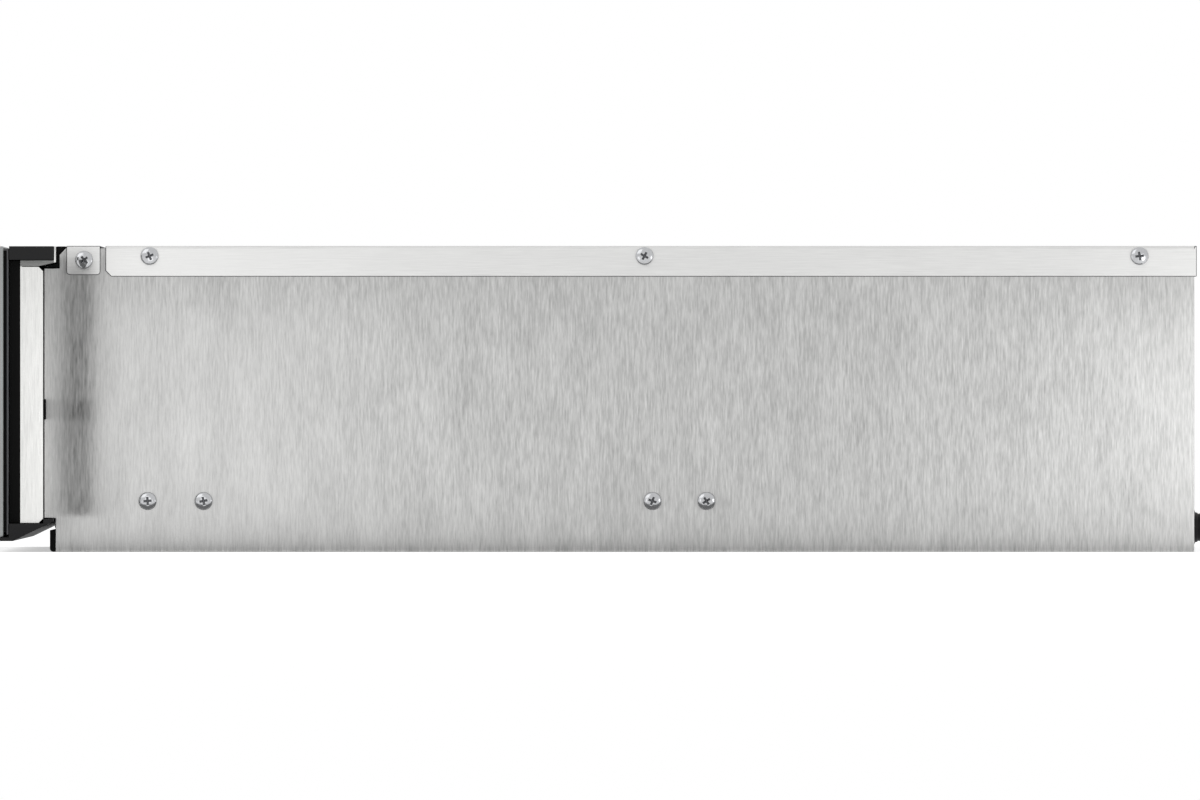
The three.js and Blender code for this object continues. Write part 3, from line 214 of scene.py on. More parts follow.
def new_material(name, colour, **sockets):
    """A Principled material; returns it with its tree and shader."""
    made = bpy.data.materials.new(name)
    made.use_nodes = True
    tree = made.node_tree
    shader = tree.nodes["Principled BSDF"]
    shader.inputs["Base Color"].default_value = linear(colour)
    for key, value in sockets.items():
        shader.inputs[key.replace("_", " ")].default_value = value
    return made, tree, shader


def ranged(tree, value, low, high, source=NOISE_SPAN):
    """A value stretched from the source range, by default where noise mostly lies, to low..high."""
    return add_node(tree, "ShaderNodeMapRange", {
        "From Min": source[0], "From Max": source[1], "To Min": low, "To Max": high},
        {"Value": value}).outputs["Result"]


def toned(tree, shader, colour, factor):
    """Sets the base colour to the colour times a factor that varies over the surface."""
    scaled = add_node(tree, "ShaderNodeVectorMath", {"operation": "SCALE", 0: linear(colour)[:3]},
                      {"Scale": factor})
    tree.links.new(scaled.outputs[0], shader.inputs["Base Color"])


def zinc_sheet(name, colour):
    """Zinc coated sheet: each crystal of the coat has its own tone and gloss."""
    made, tree, shader = new_material(name, colour, Metallic=1.0)
    place = add_node(tree, "ShaderNodeTexCoord").outputs["Object"]
    crystals = add_node(tree, "ShaderNodeTexVoronoi", {"Scale": 1 / (SPANGLE_MM * MM)},
                        {"Vector": place})
    facet = add_node(tree, "ShaderNodeSeparateColor", links={0: crystals.outputs["Color"]})
    smudge = add_node(tree, "ShaderNodeTexNoise", {"Scale": 1 / (SMUDGE_MM * MM), "Detail": 4.0},
                      {"Vector": place})
    blend = add_node(tree, "ShaderNodeMix", {"data_type": "FLOAT", 0: SMUDGE_SHARE},
                     {2: facet.outputs[0], 3: smudge.outputs["Fac"]}).outputs[0]
    toned(tree, shader, colour, ranged(tree, blend, *ZINC_TONE, WHOLE_SPAN))
    tree.links.new(ranged(tree, blend, *ZINC_GLOSS, WHOLE_SPAN), shader.inputs["Roughness"])
    relief = add_node(tree, "ShaderNodeBump",
                      {"Strength": ZINC_RELIEF, "Distance": ZINC_RELIEF_MM * MM},
                      {"Height": smudge.outputs["Fac"]})
    tree.links.new(relief.outputs[0], shader.inputs["Normal"])
    return made


def grained(name, colour, grain_mm, tone, roughness, relief_mm, detail=2.0, **sockets):
    """A surface with an even small grain; tone and roughness are ranges over the grain."""
    made, tree, shader = new_material(name, colour, **sockets)
    place = add_node(tree, "ShaderNodeTexCoord").outputs["Object"]
    grain = add_node(tree, "ShaderNodeTexNoise", {"Scale": 1 / (grain_mm * MM), "Detail": detail},
                     {"Vector": place}).outputs["Fac"]
    broad = add_node(tree, "ShaderNodeTexNoise", {"Scale": 1 / (MOTTLE_MM * MM), "Detail": 2.0},
                     {"Vector": place})
    blend = add_node(tree, "ShaderNodeMix", {"data_type": "FLOAT", 0: MOTTLE_SHARE},
                     {2: grain, 3: broad.outputs["Fac"]}).outputs[0]
    toned(tree, shader, colour, ranged(tree, blend, *tone))
    tree.links.new(ranged(tree, blend, *roughness), shader.inputs["Roughness"])
    if relief_mm:
        relief = add_node(tree, "ShaderNodeBump",
                          {"Strength": GRAIN_RELIEF, "Distance": relief_mm * MM}, {"Height": grain})
        tree.links.new(relief.outputs[0], shader.inputs["Normal"])
    return made


def settled(piece, material, body, slot, *nodes, smooth=SMOOTH_DEGREES):
    bpy.ops.object.select_all(action="DESELECT")
    bpy.context.view_layer.objects.active = piece
    piece.select_set(True)
    bpy.ops.object.shade_smooth_by_angle(angle=math.radians(smooth))
    even = piece.modifiers.new("even_faces", "WEIGHTED_NORMAL")
    even.weight = FACE_WEIGHT
    even.keep_sharp = True
    bpy.ops.object.modifier_apply(modifier=even.name)
    if material:
        piece.data.materials.clear()
        piece.data.materials.append(material)
    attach(piece, body)
    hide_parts(*nodes)


def eased(node, name, body, slot, material, ease_mm=SHEET_EASE_MM, edge_material=None,
          smooth=SMOOTH_DEGREES, even=False):
    """A CAD part with its edges broken: its mesh is copied, merged, flattened and bevelled.
    An even bevel keeps its width beside short edges; either kind stays inside the node's box."""
    bpy.ops.object.select_all(action="DESELECT")
    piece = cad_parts[node].copy()
    piece.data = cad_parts[node].data.copy()
    piece.parent = None
    piece.matrix_world = Matrix.Identity(4)
    piece.name = name
    bpy.context.collection.objects.link(piece)
    bpy.context.view_layer.objects.active = piece
    piece.select_set(True)
    piece.data.materials.clear()
    piece.data.materials.append(material)
    bpy.ops.object.mode_set(mode="EDIT")
    bpy.ops.mesh.select_all(action="SELECT")
    bpy.ops.mesh.remove_doubles(threshold=MERGE_MM * MM)
    bpy.ops.mesh.dissolve_limited(angle_limit=math.radians(FLAT_DEGREES))
    bpy.ops.object.mode_set(mode="OBJECT")
    if ease_mm:
        edge = piece.modifiers.new("broken_edges", "BEVEL")
        edge.width = ease_mm * MM
        edge.segments = EASE_STEPS
        edge.limit_method = "ANGLE"
        edge.angle_limit = math.radians(smooth)
        edge.use_clamp_overlap = not even
        if edge_material:
            piece.data.materials.append(edge_material)
            edge.material = 1
        bpy.ops.object.modifier_apply(modifier=edge.name)
        low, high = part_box(node)
        for corner in piece.data.vertices:
            corner.co = [min(max(v, least), most) for v, least, most in zip(corner.co, low, high)]
    settled(piece, None, body, slot, node, smooth=smooth)
    return piece


# Hot-dip zinc: mid grey, a patchwork of dull and bright crystals.
zinc_coat = zinc_sheet("hot_dip_zinc_sheet", ZINC)
# A sheared edge: dull beside the face, where the zinc or polish is gone, and darker as painted shade, so
# the broken edges of each sheet draw dark shadow lines.
sheared_edge_and_shade = grained("sheared_sheet_edge_and_painted_shade", CUT_EDGE_AND_SHADE, grain_mm=0.4, tone=(0.8, 1.3), roughness=(0.5, 0.65),
                  relief_mm=0.02, Metallic=1.0)
eased("bottom_pan", "casing_bottom_sheet", "casing", "zinc_steel", zinc_coat, edge_material=sheared_edge_and_shade)


# ---------------------------------------------------------------------------
# Casing sides: 1 mm stainless sheet, brushed upright, laser cut and folded inwards
# along the front and rear edges. The grain is fine streaks over a soft cloud.
# ---------------------------------------------------------------------------
SIDE_STEEL = "#b8b8b7"
GRAIN_WIDTH_MM = 0.8
GRAIN_LENGTH_MM = 7.0
CLOUD_WIDTH_MM = 14.0
CLOUD_LENGTH_MM = 45.0
CLOUD_SHARE = 0.22
STREAK_RELIEF_MM = 0.05
STREAK_GLOSS = (-0.06, 0.08)
OUTLINE_MM = 0.3
DARK_EDGE_MM = 1.0


def brushed_steel(name, colour, along, width_mm, length_mm, tone=(0.84, 1.14), roughness=0.4,
                  depth=0.05, spread=0.85):
    """Stainless sheet brushed along an axis (0, 1 or 2): streaks in tone, gloss and relief.
    The spread is how far reflections smear across the streaks."""
    made, tree, shader = new_material(name, colour, Metallic=1.0, Anisotropic=spread)
    place = add_node(tree, "ShaderNodeTexCoord").outputs["Object"]
    streak_scale = [1 / (width_mm * MM)] * 3
    streak_scale[along] = 1 / (length_mm * MM)
    stretched = add_node(tree, "ShaderNodeMapping", {"Scale": streak_scale}, {"Vector": place})
    streaks = add_node(tree, "ShaderNodeTexNoise", {"Scale": 1.0, "Detail": 3.0, "Roughness": 0.6},
                       {"Vector": stretched.outputs[0]}).outputs["Fac"]
    cloud_scale = [1 / (CLOUD_WIDTH_MM * MM)] * 3
    cloud_scale[along] = 1 / (CLOUD_LENGTH_MM * MM)
    wide = add_node(tree, "ShaderNodeMapping", {"Scale": cloud_scale}, {"Vector": place})
    cloud = add_node(tree, "ShaderNodeTexNoise", {"Scale": 1.0, "Detail": 2.0},
                     {"Vector": wide.outputs[0]})
    blend = add_node(tree, "ShaderNodeMix", {"data_type": "FLOAT", 0: CLOUD_SHARE},
                     {2: streaks, 3: cloud.outputs["Fac"]}).outputs[0]
    toned(tree, shader, colour, ranged(tree, blend, *tone))
    gloss = ranged(tree, streaks, *(roughness + step for step in STREAK_GLOSS))
    tree.links.new(gloss, shader.inputs["Roughness"])
    relief = add_node(tree, "ShaderNodeBump", {"Strength": depth, "Distance": STREAK_RELIEF_MM * MM},
                      {"Height": streaks})
    tree.links.new(relief.outputs[0], shader.inputs["Normal"])
    turn = add_node(tree, "ShaderNodeTangent", {"direction_type": "RADIAL", "axis": "XYZ"[along]})
    tree.links.new(turn.outputs[0], shader.inputs["Tangent"])
    return made


# Satin stainless, grit 180: light grey, with reflections smeared across the grain. The real
# streaks are finer than the picture shows, so these are drawn coarser.
side_steel = brushed_steel("stainless_brushed_upright", SIDE_STEEL, along=2, width_mm=GRAIN_WIDTH_MM,
                           length_mm=GRAIN_LENGTH_MM, tone=(0.72, 1.26), roughness=0.36)
for hand in ("right", "left"):
    sheet = eased(f"{hand}_side_panel", f"{hand}_side_sheet", "casing", "brushed_steel", side_steel,
                  OUTLINE_MM, sheared_edge_and_shade, even=True)
    # The sheared edge with its painted shade stays on the lowest edge alone, a painted shadow line along
    # the ground; the others are broken bright.
    for face in sheet.data.polygons:
        if face.center.z > DARK_EDGE_MM * MM:
            face.material_index = 0


# ---------------------------------------------------------------------------
# Back panel: the same zinc sheet as the pan, with a row of cooling slots and a
# hole for the mains inlet, set between the flanges of the two sides.
# ---------------------------------------------------------------------------
eased("back_panel", "casing_back_sheet", "casing", "zinc_steel", zinc_coat, edge_material=sheared_edge_and_shade)


# ---------------------------------------------------------------------------
# Front sill and top seal: black rubber profiles along the front of the casing,
# under and above the drawer. Matt, with the faint grain of an extruding die.
# ---------------------------------------------------------------------------
RUBBER = "#0d0d0d"
RUBBER_EASE_MM = 0.25
# Carbon black rubber: deep black and matt, so it hardly mirrors the white round it.
rubber = grained("black_extruded_rubber", RUBBER, grain_mm=0.5, tone=(0.8, 1.25),
                 roughness=(0.62, 0.78), relief_mm=0.05, Specular_IOR_Level=0.12)
eased("front_sill", "front_sill_profile", "casing", "black_rubber", rubber, RUBBER_EASE_MM)
eased("front_seal", "front_seal_profile", "casing", "black_rubber", rubber, RUBBER_EASE_MM)


# ---------------------------------------------------------------------------
# Ball runners: three nested members a side, roll formed from bright zinc plated
# strip, lightly greased, with faint draw lines along their length.
# ---------------------------------------------------------------------------
PLATED_STRIP = "#b9bcc0"
STRIP_EASE_MM = 0.12
# Zinc plate, cool and fairly bright, streaked along the strip by the rolls.
plated = brushed_steel("zinc_plated_strip", PLATED_STRIP, along=1, width_mm=0.7, length_mm=30.0,
                       roughness=0.34)
for hand in ("right", "left"):
    for member, body in (("outer", "casing"), ("middle", f"{hand}_middle_member"), ("inner", "drawer")):
        eased(f"{hand}_{member}_runner", f"{hand}_runner_{member}_member", body, "zinc_steel", plated,
              STRIP_EASE_MM, sheared_edge_and_shade)


# ---------------------------------------------------------------------------
# Ball cages: a thin phosphated channel between each two members, punched for
# seven polished steel balls in each race.
# ---------------------------------------------------------------------------
CAGE_STRIP = "#55565a"
BALL_STEEL = "#c9cacc"
CAGE_SHEET_MM = 0.6
CAGE_BEND_MM = 0.8
CAGE_BEND_STEPS = 3
TIP_SHORT_MM = 0.1
BALL_RADIUS_MM = 1.45
BALLS = 7
BALL_MARGIN_MM = 12.0
BALL_SEGMENTS, BALL_RINGS = 20, 12
# From the top or bottom of the cage to the middle of its balls, and from its web to them.
RACE_INSET_MM = 1.0875
BALL_REACH_MM = {"outer": 4.35, "inner": 3.35}


def begun(name, primitive):
    """A primitive 1 mm across at the origin, in edit mode with everything selected."""
    bpy.ops.object.select_all(action="DESELECT")
    primitive(size=MM, location=(0, 0, 0))
    piece = bpy.context.object
    piece.name = name
    bpy.ops.object.mode_set(mode="EDIT")
    bpy.ops.mesh.select_all(action="SELECT")
    return piece


def drawn(name, points):
    """A line of edges through the points (mm), left in edit mode with everything selected."""
    piece = begun(name, bpy.ops.mesh.primitive_plane_add)
    bpy.ops.mesh.merge(type="CENTER")
    places = [Vector(point) * MM for point in points]
    bpy.ops.transform.translate(value=places[0])
    for before, after in zip(places, places[1:]):
        bpy.ops.mesh.extrude_vertices_move(TRANSFORM_OT_translate={"value": after - before})
    bpy.ops.mesh.select_all(action="SELECT")
    return piece


def applied(piece, kind, **settings):
    """Adds one modifier to the piece and applies it."""
    bpy.context.view_layer.objects.active = piece
    made = piece.modifiers.new(kind.lower(), kind)
    for key, value in settings.items():
        setattr(made, key, value)
    bpy.ops.object.modifier_apply(modifier=made.name)


def joined(first, others):
    """Joins other pieces into the first, which keeps its name."""
    bpy.ops.object.select_all(action="DESELECT")
    for other in others:
        other.select_set(True)
    first.select_set(True)
    bpy.context.view_layer.objects.active = first
    bpy.ops.object.join()
    return first


# Phosphated strip: dark, even and slightly oily. Balls: hardened, nearly mirror bright.
phosphate = grained("phosphated_cage_strip", CAGE_STRIP, grain_mm=0.6, tone=(0.8, 1.2),
                    roughness=(0.4, 0.55), relief_mm=0.02, Metallic=1.0)
ball_steel = grained("hardened_ball_steel", BALL_STEEL, grain_mm=1.0, tone=(0.92, 1.06),
                     roughness=(0.1, 0.16), relief_mm=0.0, Metallic=1.0)
for hand, side in (("right", 1), ("left", -1)):
    for ring, reach in BALL_REACH_MM.items():
        # The left cage is the right one mirrored, so both take their sizes from the right one's box.
        low, high = (Vector(v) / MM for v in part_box(f"right_{ring}_ball_cage"))
        upper, lower = high.z - RACE_INSET_MM, low.z + RACE_INSET_MM
        web, tip = side * (high.x - CAGE_SHEET_MM / 2), side * (low.x + TIP_SHORT_MM)
        cage = drawn(f"{hand}_cage_of_{ring}_balls", [
            (tip, low.y, upper), (web, low.y, upper), (web, low.y, lower), (tip, low.y, lower)])
        bpy.ops.mesh.extrude_region_move(
            TRANSFORM_OT_translate={"value": (0, (high.y - low.y) * MM, 0)})
        bpy.ops.object.mode_set(mode="OBJECT")
        applied(cage, "BEVEL", width=CAGE_BEND_MM * MM, segments=CAGE_BEND_STEPS, limit_method="ANGLE",
                angle_limit=math.radians(SMOOTH_DEGREES))
        applied(cage, "SOLIDIFY", thickness=CAGE_SHEET_MM * MM, offset=0)
        cage.data.materials.append(phosphate)
        cage.data.materials.append(ball_steel)
        pitch = (high.y - low.y - 2 * BALL_MARGIN_MM) / (BALLS - 1)
        balls = []
        for height in (upper, lower):
            for i in range(BALLS):
                middle = Vector((web - side * reach, low.y + BALL_MARGIN_MM + i * pitch, height))
                bpy.ops.mesh.primitive_uv_sphere_add(
                    segments=BALL_SEGMENTS, ring_count=BALL_RINGS, radius=BALL_RADIUS_MM * MM,
                    location=middle * MM)
                ball = bpy.context.object
                ball.data.materials.append(phosphate)
                ball.data.materials.append(ball_steel)
                for face in ball.data.polygons:
                    face.material_index = 1
                balls.append(ball)
        joined(cage, balls)
        bpy.ops.object.transform_apply(location=True, rotation=True, scale=True)
        settled(cage, None, f"{hand}_{ring}_cage", "cage_steel", f"{hand}_{ring}_ball_cage")


# ---------------------------------------------------------------------------
# Top rail and lid: 0.8 mm stainless sheet brushed along its length, lapped over
# the sides and screwed to them; two groups of cooling slots near the rear.
# ---------------------------------------------------------------------------
# Lighter than the sides' steel: painted light.
LID_STEEL = "#d8d8d7"
LID_TONE = (0.92, 1.07)
LID_GRAIN_MM = 0.5
LID_STREAK_MM = 16.0
LID_EDGE_MM = 0.28
# The same satin stainless with its grain lengthways and its colour set lighter than the sides' as
# painted light, so its flange reads a little lighter.
lid_steel = brushed_steel("stainless_brushed_lengthways", LID_STEEL, along=1, width_mm=LID_GRAIN_MM,
                          length_mm=LID_STREAK_MM, tone=LID_TONE, roughness=0.48, spread=0.4)
eased("front_top_rail", "front_rail_sheet", "casing", "brushed_steel", lid_steel, LID_EDGE_MM, sheared_edge_and_shade,
      even=True)
eased("top_cover", "lid_sheet", "casing", "brushed_steel", lid_steel, LID_EDGE_MM, sheared_edge_and_shade, even=True)


# ---------------------------------------------------------------------------
# Screws: bright plated steel, pan head with a cross recess and a rolled thread.
# Two lengths are modelled, and every screw is a copy turned its own way.
# ---------------------------------------------------------------------------
SCREW_PLATE = "#babbbd"
HEAD_MM = 2.2
# The head from its seat to its crown: height, radius.
HEAD_OUTLINE_MM = [(0, 3.95), (0.15, 4.1), (0.75, 4.1), (1.15, 3.85), (1.55, 3.3), (1.86, 2.5),
                   (2.05, 1.6), (2.17, 0.8), (HEAD_MM, 0)]
HEAD_EASE_MM = 0.07
SHANK_MM = 1.8
NECK_MM = 0.05
THREAD_PITCH_MM = 0.7
THREAD_DEPTH_MM = 0.3
THREAD_STOP_MM = 0.8
SCREW_LENGTHS_MM = {"long": 6.3, "short": 2.7}
# The recess's colour: painted shade.
RECESS_SHADE = "#66676a"
RECESS_MM = 3.8
RECESS_WIDTH_MM = 1.0
RECESS_DEPTH_MM = 1.5
# How much of its length and width a recess wing keeps at its foot.
RECESS_FOOT = (0.35, 0.55)
LATHE_STEPS = 40
WELD_MM = 0.001
FACING = 0.9  # the least part of a normal along an axis for a face to count as facing it


def lathe(name, profile, axis="X", steps=LATHE_STEPS):
    """A closed shape: (along, radius) points in mm spun round an axis through the origin."""
    along = "XYZ".index(axis)
    out = (along + 1) % 3
    points = []
    for position, radius in profile:
        point = [0, 0, 0]
        point[along], point[out] = position, radius
        points.append(point)
    piece = drawn(name, points)
    turn = [0, 0, 0]
    turn[along] = 1
    bpy.ops.mesh.spin(steps=steps, angle=2 * math.pi, center=(0, 0, 0), axis=turn)
    bpy.ops.mesh.select_all(action="SELECT")
    bpy.ops.mesh.remove_doubles(threshold=WELD_MM * MM)
    bpy.ops.mesh.normals_make_consistent(inside=False)
    bpy.ops.object.mode_set(mode="OBJECT")
    return piece


def picked(piece, part, test):
    """Selects, in edit mode, the piece's faces or edges that pass a test, and nothing else."""
    bpy.ops.mesh.select_all(action="DESELECT")
    shape = bmesh.from_edit_mesh(piece.data)
    for element in getattr(shape, part):
        element.select_set(test(element))
    bmesh.update_edit_mesh(piece.data)


def copied(master, name, matrix):
    """A copy of a finished mesh with its own data, moved by a matrix inside its mesh."""
    piece = master.copy()
    piece.data = master.data.copy()
    piece.name = name
    bpy.context.collection.objects.link(piece)
    piece.data.transform(matrix)
    return piece


# Bright zinc plate: smooth, nearly a mirror on the domed head. The punched recess is dull, and
# painted dark as the shade that falls in it.
screw_metal = grained("bright_plated_screw", SCREW_PLATE, grain_mm=0.8, tone=(0.92, 1.06),
                      roughness=(0.12, 0.2), relief_mm=0.0, Metallic=1.0)
shaded_recess_metal = grained("screw_recess_painted_shade", RECESS_SHADE, grain_mm=0.4, tone=(0.8, 1.25),
                       roughness=(0.4, 0.55), relief_mm=0.0, Metallic=1.0)
screw_masters = {}
for kind, reach in SCREW_LENGTHS_MM.items():
    root = SHANK_MM - THREAD_DEPTH_MM
    thread = [(-reach, 0), (-reach, root)]
    for i in range(int((reach - THREAD_STOP_MM) / THREAD_PITCH_MM)):
        start = -reach + i * THREAD_PITCH_MM
        thread += [(start + THREAD_PITCH_MM / 2, SHANK_MM), (start + THREAD_PITCH_MM, root)]
    master = lathe(f"screw_{kind}", thread + [(-NECK_MM, root), (0, SHANK_MM)] + HEAD_OUTLINE_MM)
    master.data.materials.append(screw_metal)
    cutters = []
    for quarter in (0, 1):
        cutter = begun("recess_wing", bpy.ops.mesh.primitive_cube_add)
        bpy.ops.transform.resize(value=(2 * RECESS_DEPTH_MM, RECESS_MM, RECESS_WIDTH_MM))
        bpy.ops.transform.translate(value=(HEAD_MM * MM, 0, 0))
        picked(cutter, "faces", lambda face: face.normal.x < -FACING)
        bpy.ops.transform.resize(value=(1, *RECESS_FOOT), center_override=(0, 0, 0))
        bpy.ops.mesh.select_all(action="SELECT")
        bpy.ops.transform.rotate(value=quarter * math.pi / 2, orient_axis="X", center_override=(0, 0, 0))
        bpy.ops.object.mode_set(mode="OBJECT")
        cutter.data.materials.append(shaded_recess_metal)
        cutters.append(cutter)
    for cutter in cutters:
        applied(master, "BOOLEAN", operation="DIFFERENCE", solver="EXACT", material_mode="TRANSFER",
                object=cutter)
        bpy.data.objects.remove(cutter)
    applied(master, "BEVEL", width=HEAD_EASE_MM * MM, segments=EASE_STEPS, limit_method="ANGLE",
            angle_limit=math.radians(SMOOTH_DEGREES))
    screw_masters[kind] = master

# Each screw's node and length, and how far its recess happens to be turned, in degrees.
SCREW_NODES = [("rail_screw", "long")]
SCREW_NODES += [(f"lid_screw_{i}", "long") for i in (1, 2, 3)]
SCREW_NODES += [(f"runner_screw_{i}", "short") for i in (1, 2, 3, 4)]
RECESS_TURNS = [38, 22, 61, 8, 4, 12, 70, 33]
for hand, side in (("right", 1), ("left", -1)):
    for (screw, kind), turn in zip(SCREW_NODES, RECESS_TURNS):
        low, high = (Vector(v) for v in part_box(f"{hand}_{screw}"))
        seat = high.x - HEAD_MM * MM if side > 0 else low.x + HEAD_MM * MM
        place = Matrix.Translation((seat, (low.y + high.y) / 2, (low.z + high.z) / 2))
        place = place @ Matrix.Rotation(0 if side > 0 else math.pi, 4, "Z")
        place = place @ Matrix.Rotation(math.radians(turn), 4, "X")
        piece = copied(screw_masters[kind], f"{hand}_{screw}_driven", place)
        settled(piece, None, "casing", "bright_steel", f"{hand}_{screw}")
for master in screw_masters.values():
    bpy.data.objects.remove(master)


# ---------------------------------------------------------------------------
# Mains inlet: a black nylon gland pushed through the back panel and held by its
# nut, and the white terminal block inside the casing, on the bottom pan.
# ---------------------------------------------------------------------------
NYLON = "#0e0e0f"
BLOCK_NYLON = "#dedbd3"
GLAND_SMOOTH_DEGREES = 40
# Outlines as (distance, radius): the nut from the gland's front end, and from its back end the
# neck, the flange and the ribbed nose.
GLAND_NUT_MM = [(0, 3.6), (0, 8.2), (0.8, 9.0), (7.2, 9.0), (8.0, 8.4), (8.0, 7.0)]
GLAND_NOSE_MM = [
    (9.7, 7.0), (9.7, 8.8), (9.4, 9.0), (8.3, 9.0), (8.0, 8.7), (7.4, 7.0), (6.4, 6.7), (6.1, 6.3),
    (5.4, 6.3), (5.1, 6.4), (3.9, 6.1), (3.6, 5.7), (2.9, 5.6), (2.6, 5.7), (0.8, 5.2), (0.2, 4.9),
    (0, 4.4), (0.1, 3.9), (0.6, 3.6)]


def from_both_ends(node, from_front, from_back):
    """A lathe outline along a node's depth, from (distance, radius) lists for its two ends."""
    front, back = (corner[1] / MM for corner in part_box(node))
    return [(front + away, radius) for away, radius in from_front] + [
        (back - away, radius) for away, radius in from_back]


def centred(piece, node):
    """Moves a piece spun round the Y axis onto the middle of its node."""
    low, high = (Vector(v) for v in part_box(node))
    middle = (low + high) / 2
    piece.data.transform(Matrix.Translation((middle.x, 0, middle.z)))


# Filled nylon: black or milky white, with a fine satin moulding grain.
nylon = grained("black_moulded_nylon", NYLON, grain_mm=0.6, tone=(0.85, 1.2), roughness=(0.4, 0.52),
                relief_mm=0.03, Specular_IOR_Level=0.2)
white_nylon = grained("white_moulded_nylon", BLOCK_NYLON, grain_mm=0.6, tone=(0.95, 1.03),
                      roughness=(0.42, 0.55), relief_mm=0.03)
gland_outline = from_both_ends("cable_gland", GLAND_NUT_MM, GLAND_NOSE_MM)
gland = lathe("mains_cable_gland", gland_outline + gland_outline[:1], axis="Y")
centred(gland, "cable_gland")
settled(gland, nylon, "casing", "black_rubber", "cable_gland", smooth=GLAND_SMOOTH_DEGREES)
eased("terminal_block", "mains_terminal_block", "casing", "white_plastic", white_nylon, ease_mm=0.3)


# ---------------------------------------------------------------------------
# Drawer floor: a folded zinc tray that carries a pressed mineral board and the
# sheathed heater, bent to and fro under the glass.
# ---------------------------------------------------------------------------
BOARD_FIBRE = "#b9b1a2"
SHEATH = "#4d4a48"
TUBE_SMOOTH_DEGREES = 60
# Mineral board: matt, fibrous and mottled. Heater sheath: browned by its own heat.
fibre = grained("pressed_mineral_board", BOARD_FIBRE, grain_mm=1.4, tone=(0.84, 1.12),
                roughness=(0.85, 0.95), relief_mm=0.3, detail=6.0)
sheath = grained("oxidised_heater_sheath", SHEATH, grain_mm=2.5, tone=(0.75, 1.25),
                 roughness=(0.4, 0.6), relief_mm=0.02, Metallic=1.0)
eased("drawer_floor", "drawer_floor_sheet", "drawer", "zinc_steel", zinc_coat, edge_material=sheared_edge_and_shade)
eased("insulation_board", "drawer_insulation", "drawer", "insulation", fibre, ease_mm=0.5)
eased("heating_element", "floor_heater", "drawer", "heater_sheath", sheath, ease_mm=0,
      smooth=TUBE_SMOOTH_DEGREES)


# ---------------------------------------------------------------------------
# Base glass: 4 mm toughened glass, dark, with a fine screen print of matt dots
# that keeps the dishes from sliding.
# ---------------------------------------------------------------------------
DARK_GLASS = "#141517"
PRINT_GREY = "#77787a"
PRINT_GLOSS = (0.06, 0.5)
DOT_PITCH_MM = 6.0
DOT_RADIUS_MM = 0.8
DOT_SOFTNESS = 0.01


def dot_mask(tree, pitch_mm, radius_mm, middle=(0, 0)):
    """1 on round dots of a square grid laid flat (X and Y) round a middle in mm, 0 between them."""
    place = add_node(tree, "ShaderNodeTexCoord").outputs["Object"]
    offset = [v * MM for v in (*middle, 0)]
    moved = add_node(tree, "ShaderNodeVectorMath", {"operation": "SUBTRACT", 1: offset}, {0: place})
    scale = 1 / (pitch_mm * MM)
    grid = add_node(tree, "ShaderNodeMapping", {"Scale": (scale, scale, 0)},
                    {"Vector": moved.outputs[0]})
    cell = add_node(tree, "ShaderNodeTexVoronoi", {"Scale": 1.0, "Randomness": 0.0},
                    {"Vector": grid.outputs[0]})
    edge = radius_mm / pitch_mm
    return ranged(tree, cell.outputs["Distance"], 1.0, 0.0, (edge - DOT_SOFTNESS, edge + DOT_SOFTNESS))


def spotted(tree, shader, mask, colours, gloss):
    """One colour and roughness where the mask is 0, another where it is 1."""
    mixed = add_node(tree, "ShaderNodeMix",
                     {"data_type": "RGBA", 6: linear(colours[0]), 7: linear(colours[1])}, {0: mask})
    tree.links.new(mixed.outputs[2], shader.inputs["Base Color"])
    tree.links.new(ranged(tree, mask, *gloss, WHOLE_SPAN), shader.inputs["Roughness"])


# Toughened glass, through-dyed nearly black and polished; the dots are matt enamel.
dark_glass, tree, shader = new_material("dark_printed_glass", DARK_GLASS)
dots = dot_mask(tree, DOT_PITCH_MM, DOT_RADIUS_MM)
spotted(tree, shader, dots, (DARK_GLASS, PRINT_GREY), PRINT_GLOSS)
eased("base_glass", "drawer_base_glass", "drawer", "base_glass", dark_glass, ease_mm=0.3)


# ---------------------------------------------------------------------------
# Drawer sides and back: folded stainless sheet brushed lengthways. The back is pierced
# by a round grille for the fan's intake, with upright outlet slots at each side of it.
# ---------------------------------------------------------------------------
for hand in ("right", "left"):
    eased(f"{hand}_drawer_side", f"{hand}_drawer_side_sheet", "drawer", "brushed_steel", lid_steel,
          edge_material=sheared_edge_and_shade)
# The lid's own finish, with its grain across the appliance.
back_steel = brushed_steel("stainless_brushed_across", LID_STEEL, along=0, width_mm=LID_GRAIN_MM,
                           length_mm=LID_STREAK_MM, tone=LID_TONE)
eased("drawer_back", "drawer_back_sheet", "drawer", "brushed_steel", back_steel, edge_material=sheared_edge_and_shade)


# ---------------------------------------------------------------------------
# Fan: a deep drawn zinc housing on the drawer's back, a stamped alloy wheel of
# backward curved blades, and a small lacquered motor that turns it.
# ---------------------------------------------------------------------------
WHEEL_ALLOY = "#c4c7ca"
LACQUER = "#2c2d2f"
WHEEL_RADIUS_MM = 34.0
WHEEL_EYE_MM = 17.0
WHEEL_DISC_MM = 18.0
WHEEL_STEPS, MOTOR_STEPS = 64, 56
RIM_INSET_MM = 0.5
BLADES = 14
BLADE_STEPS = 8
BLADE_SWEEP = 0.75
BLADE_CURVE = 1.5
BLADE_MM = 1.0
BLADE_ROOT_MM = 0.5
BLADE_EASE_MM = 0.2
BLADE_EASE_DEGREES = 60
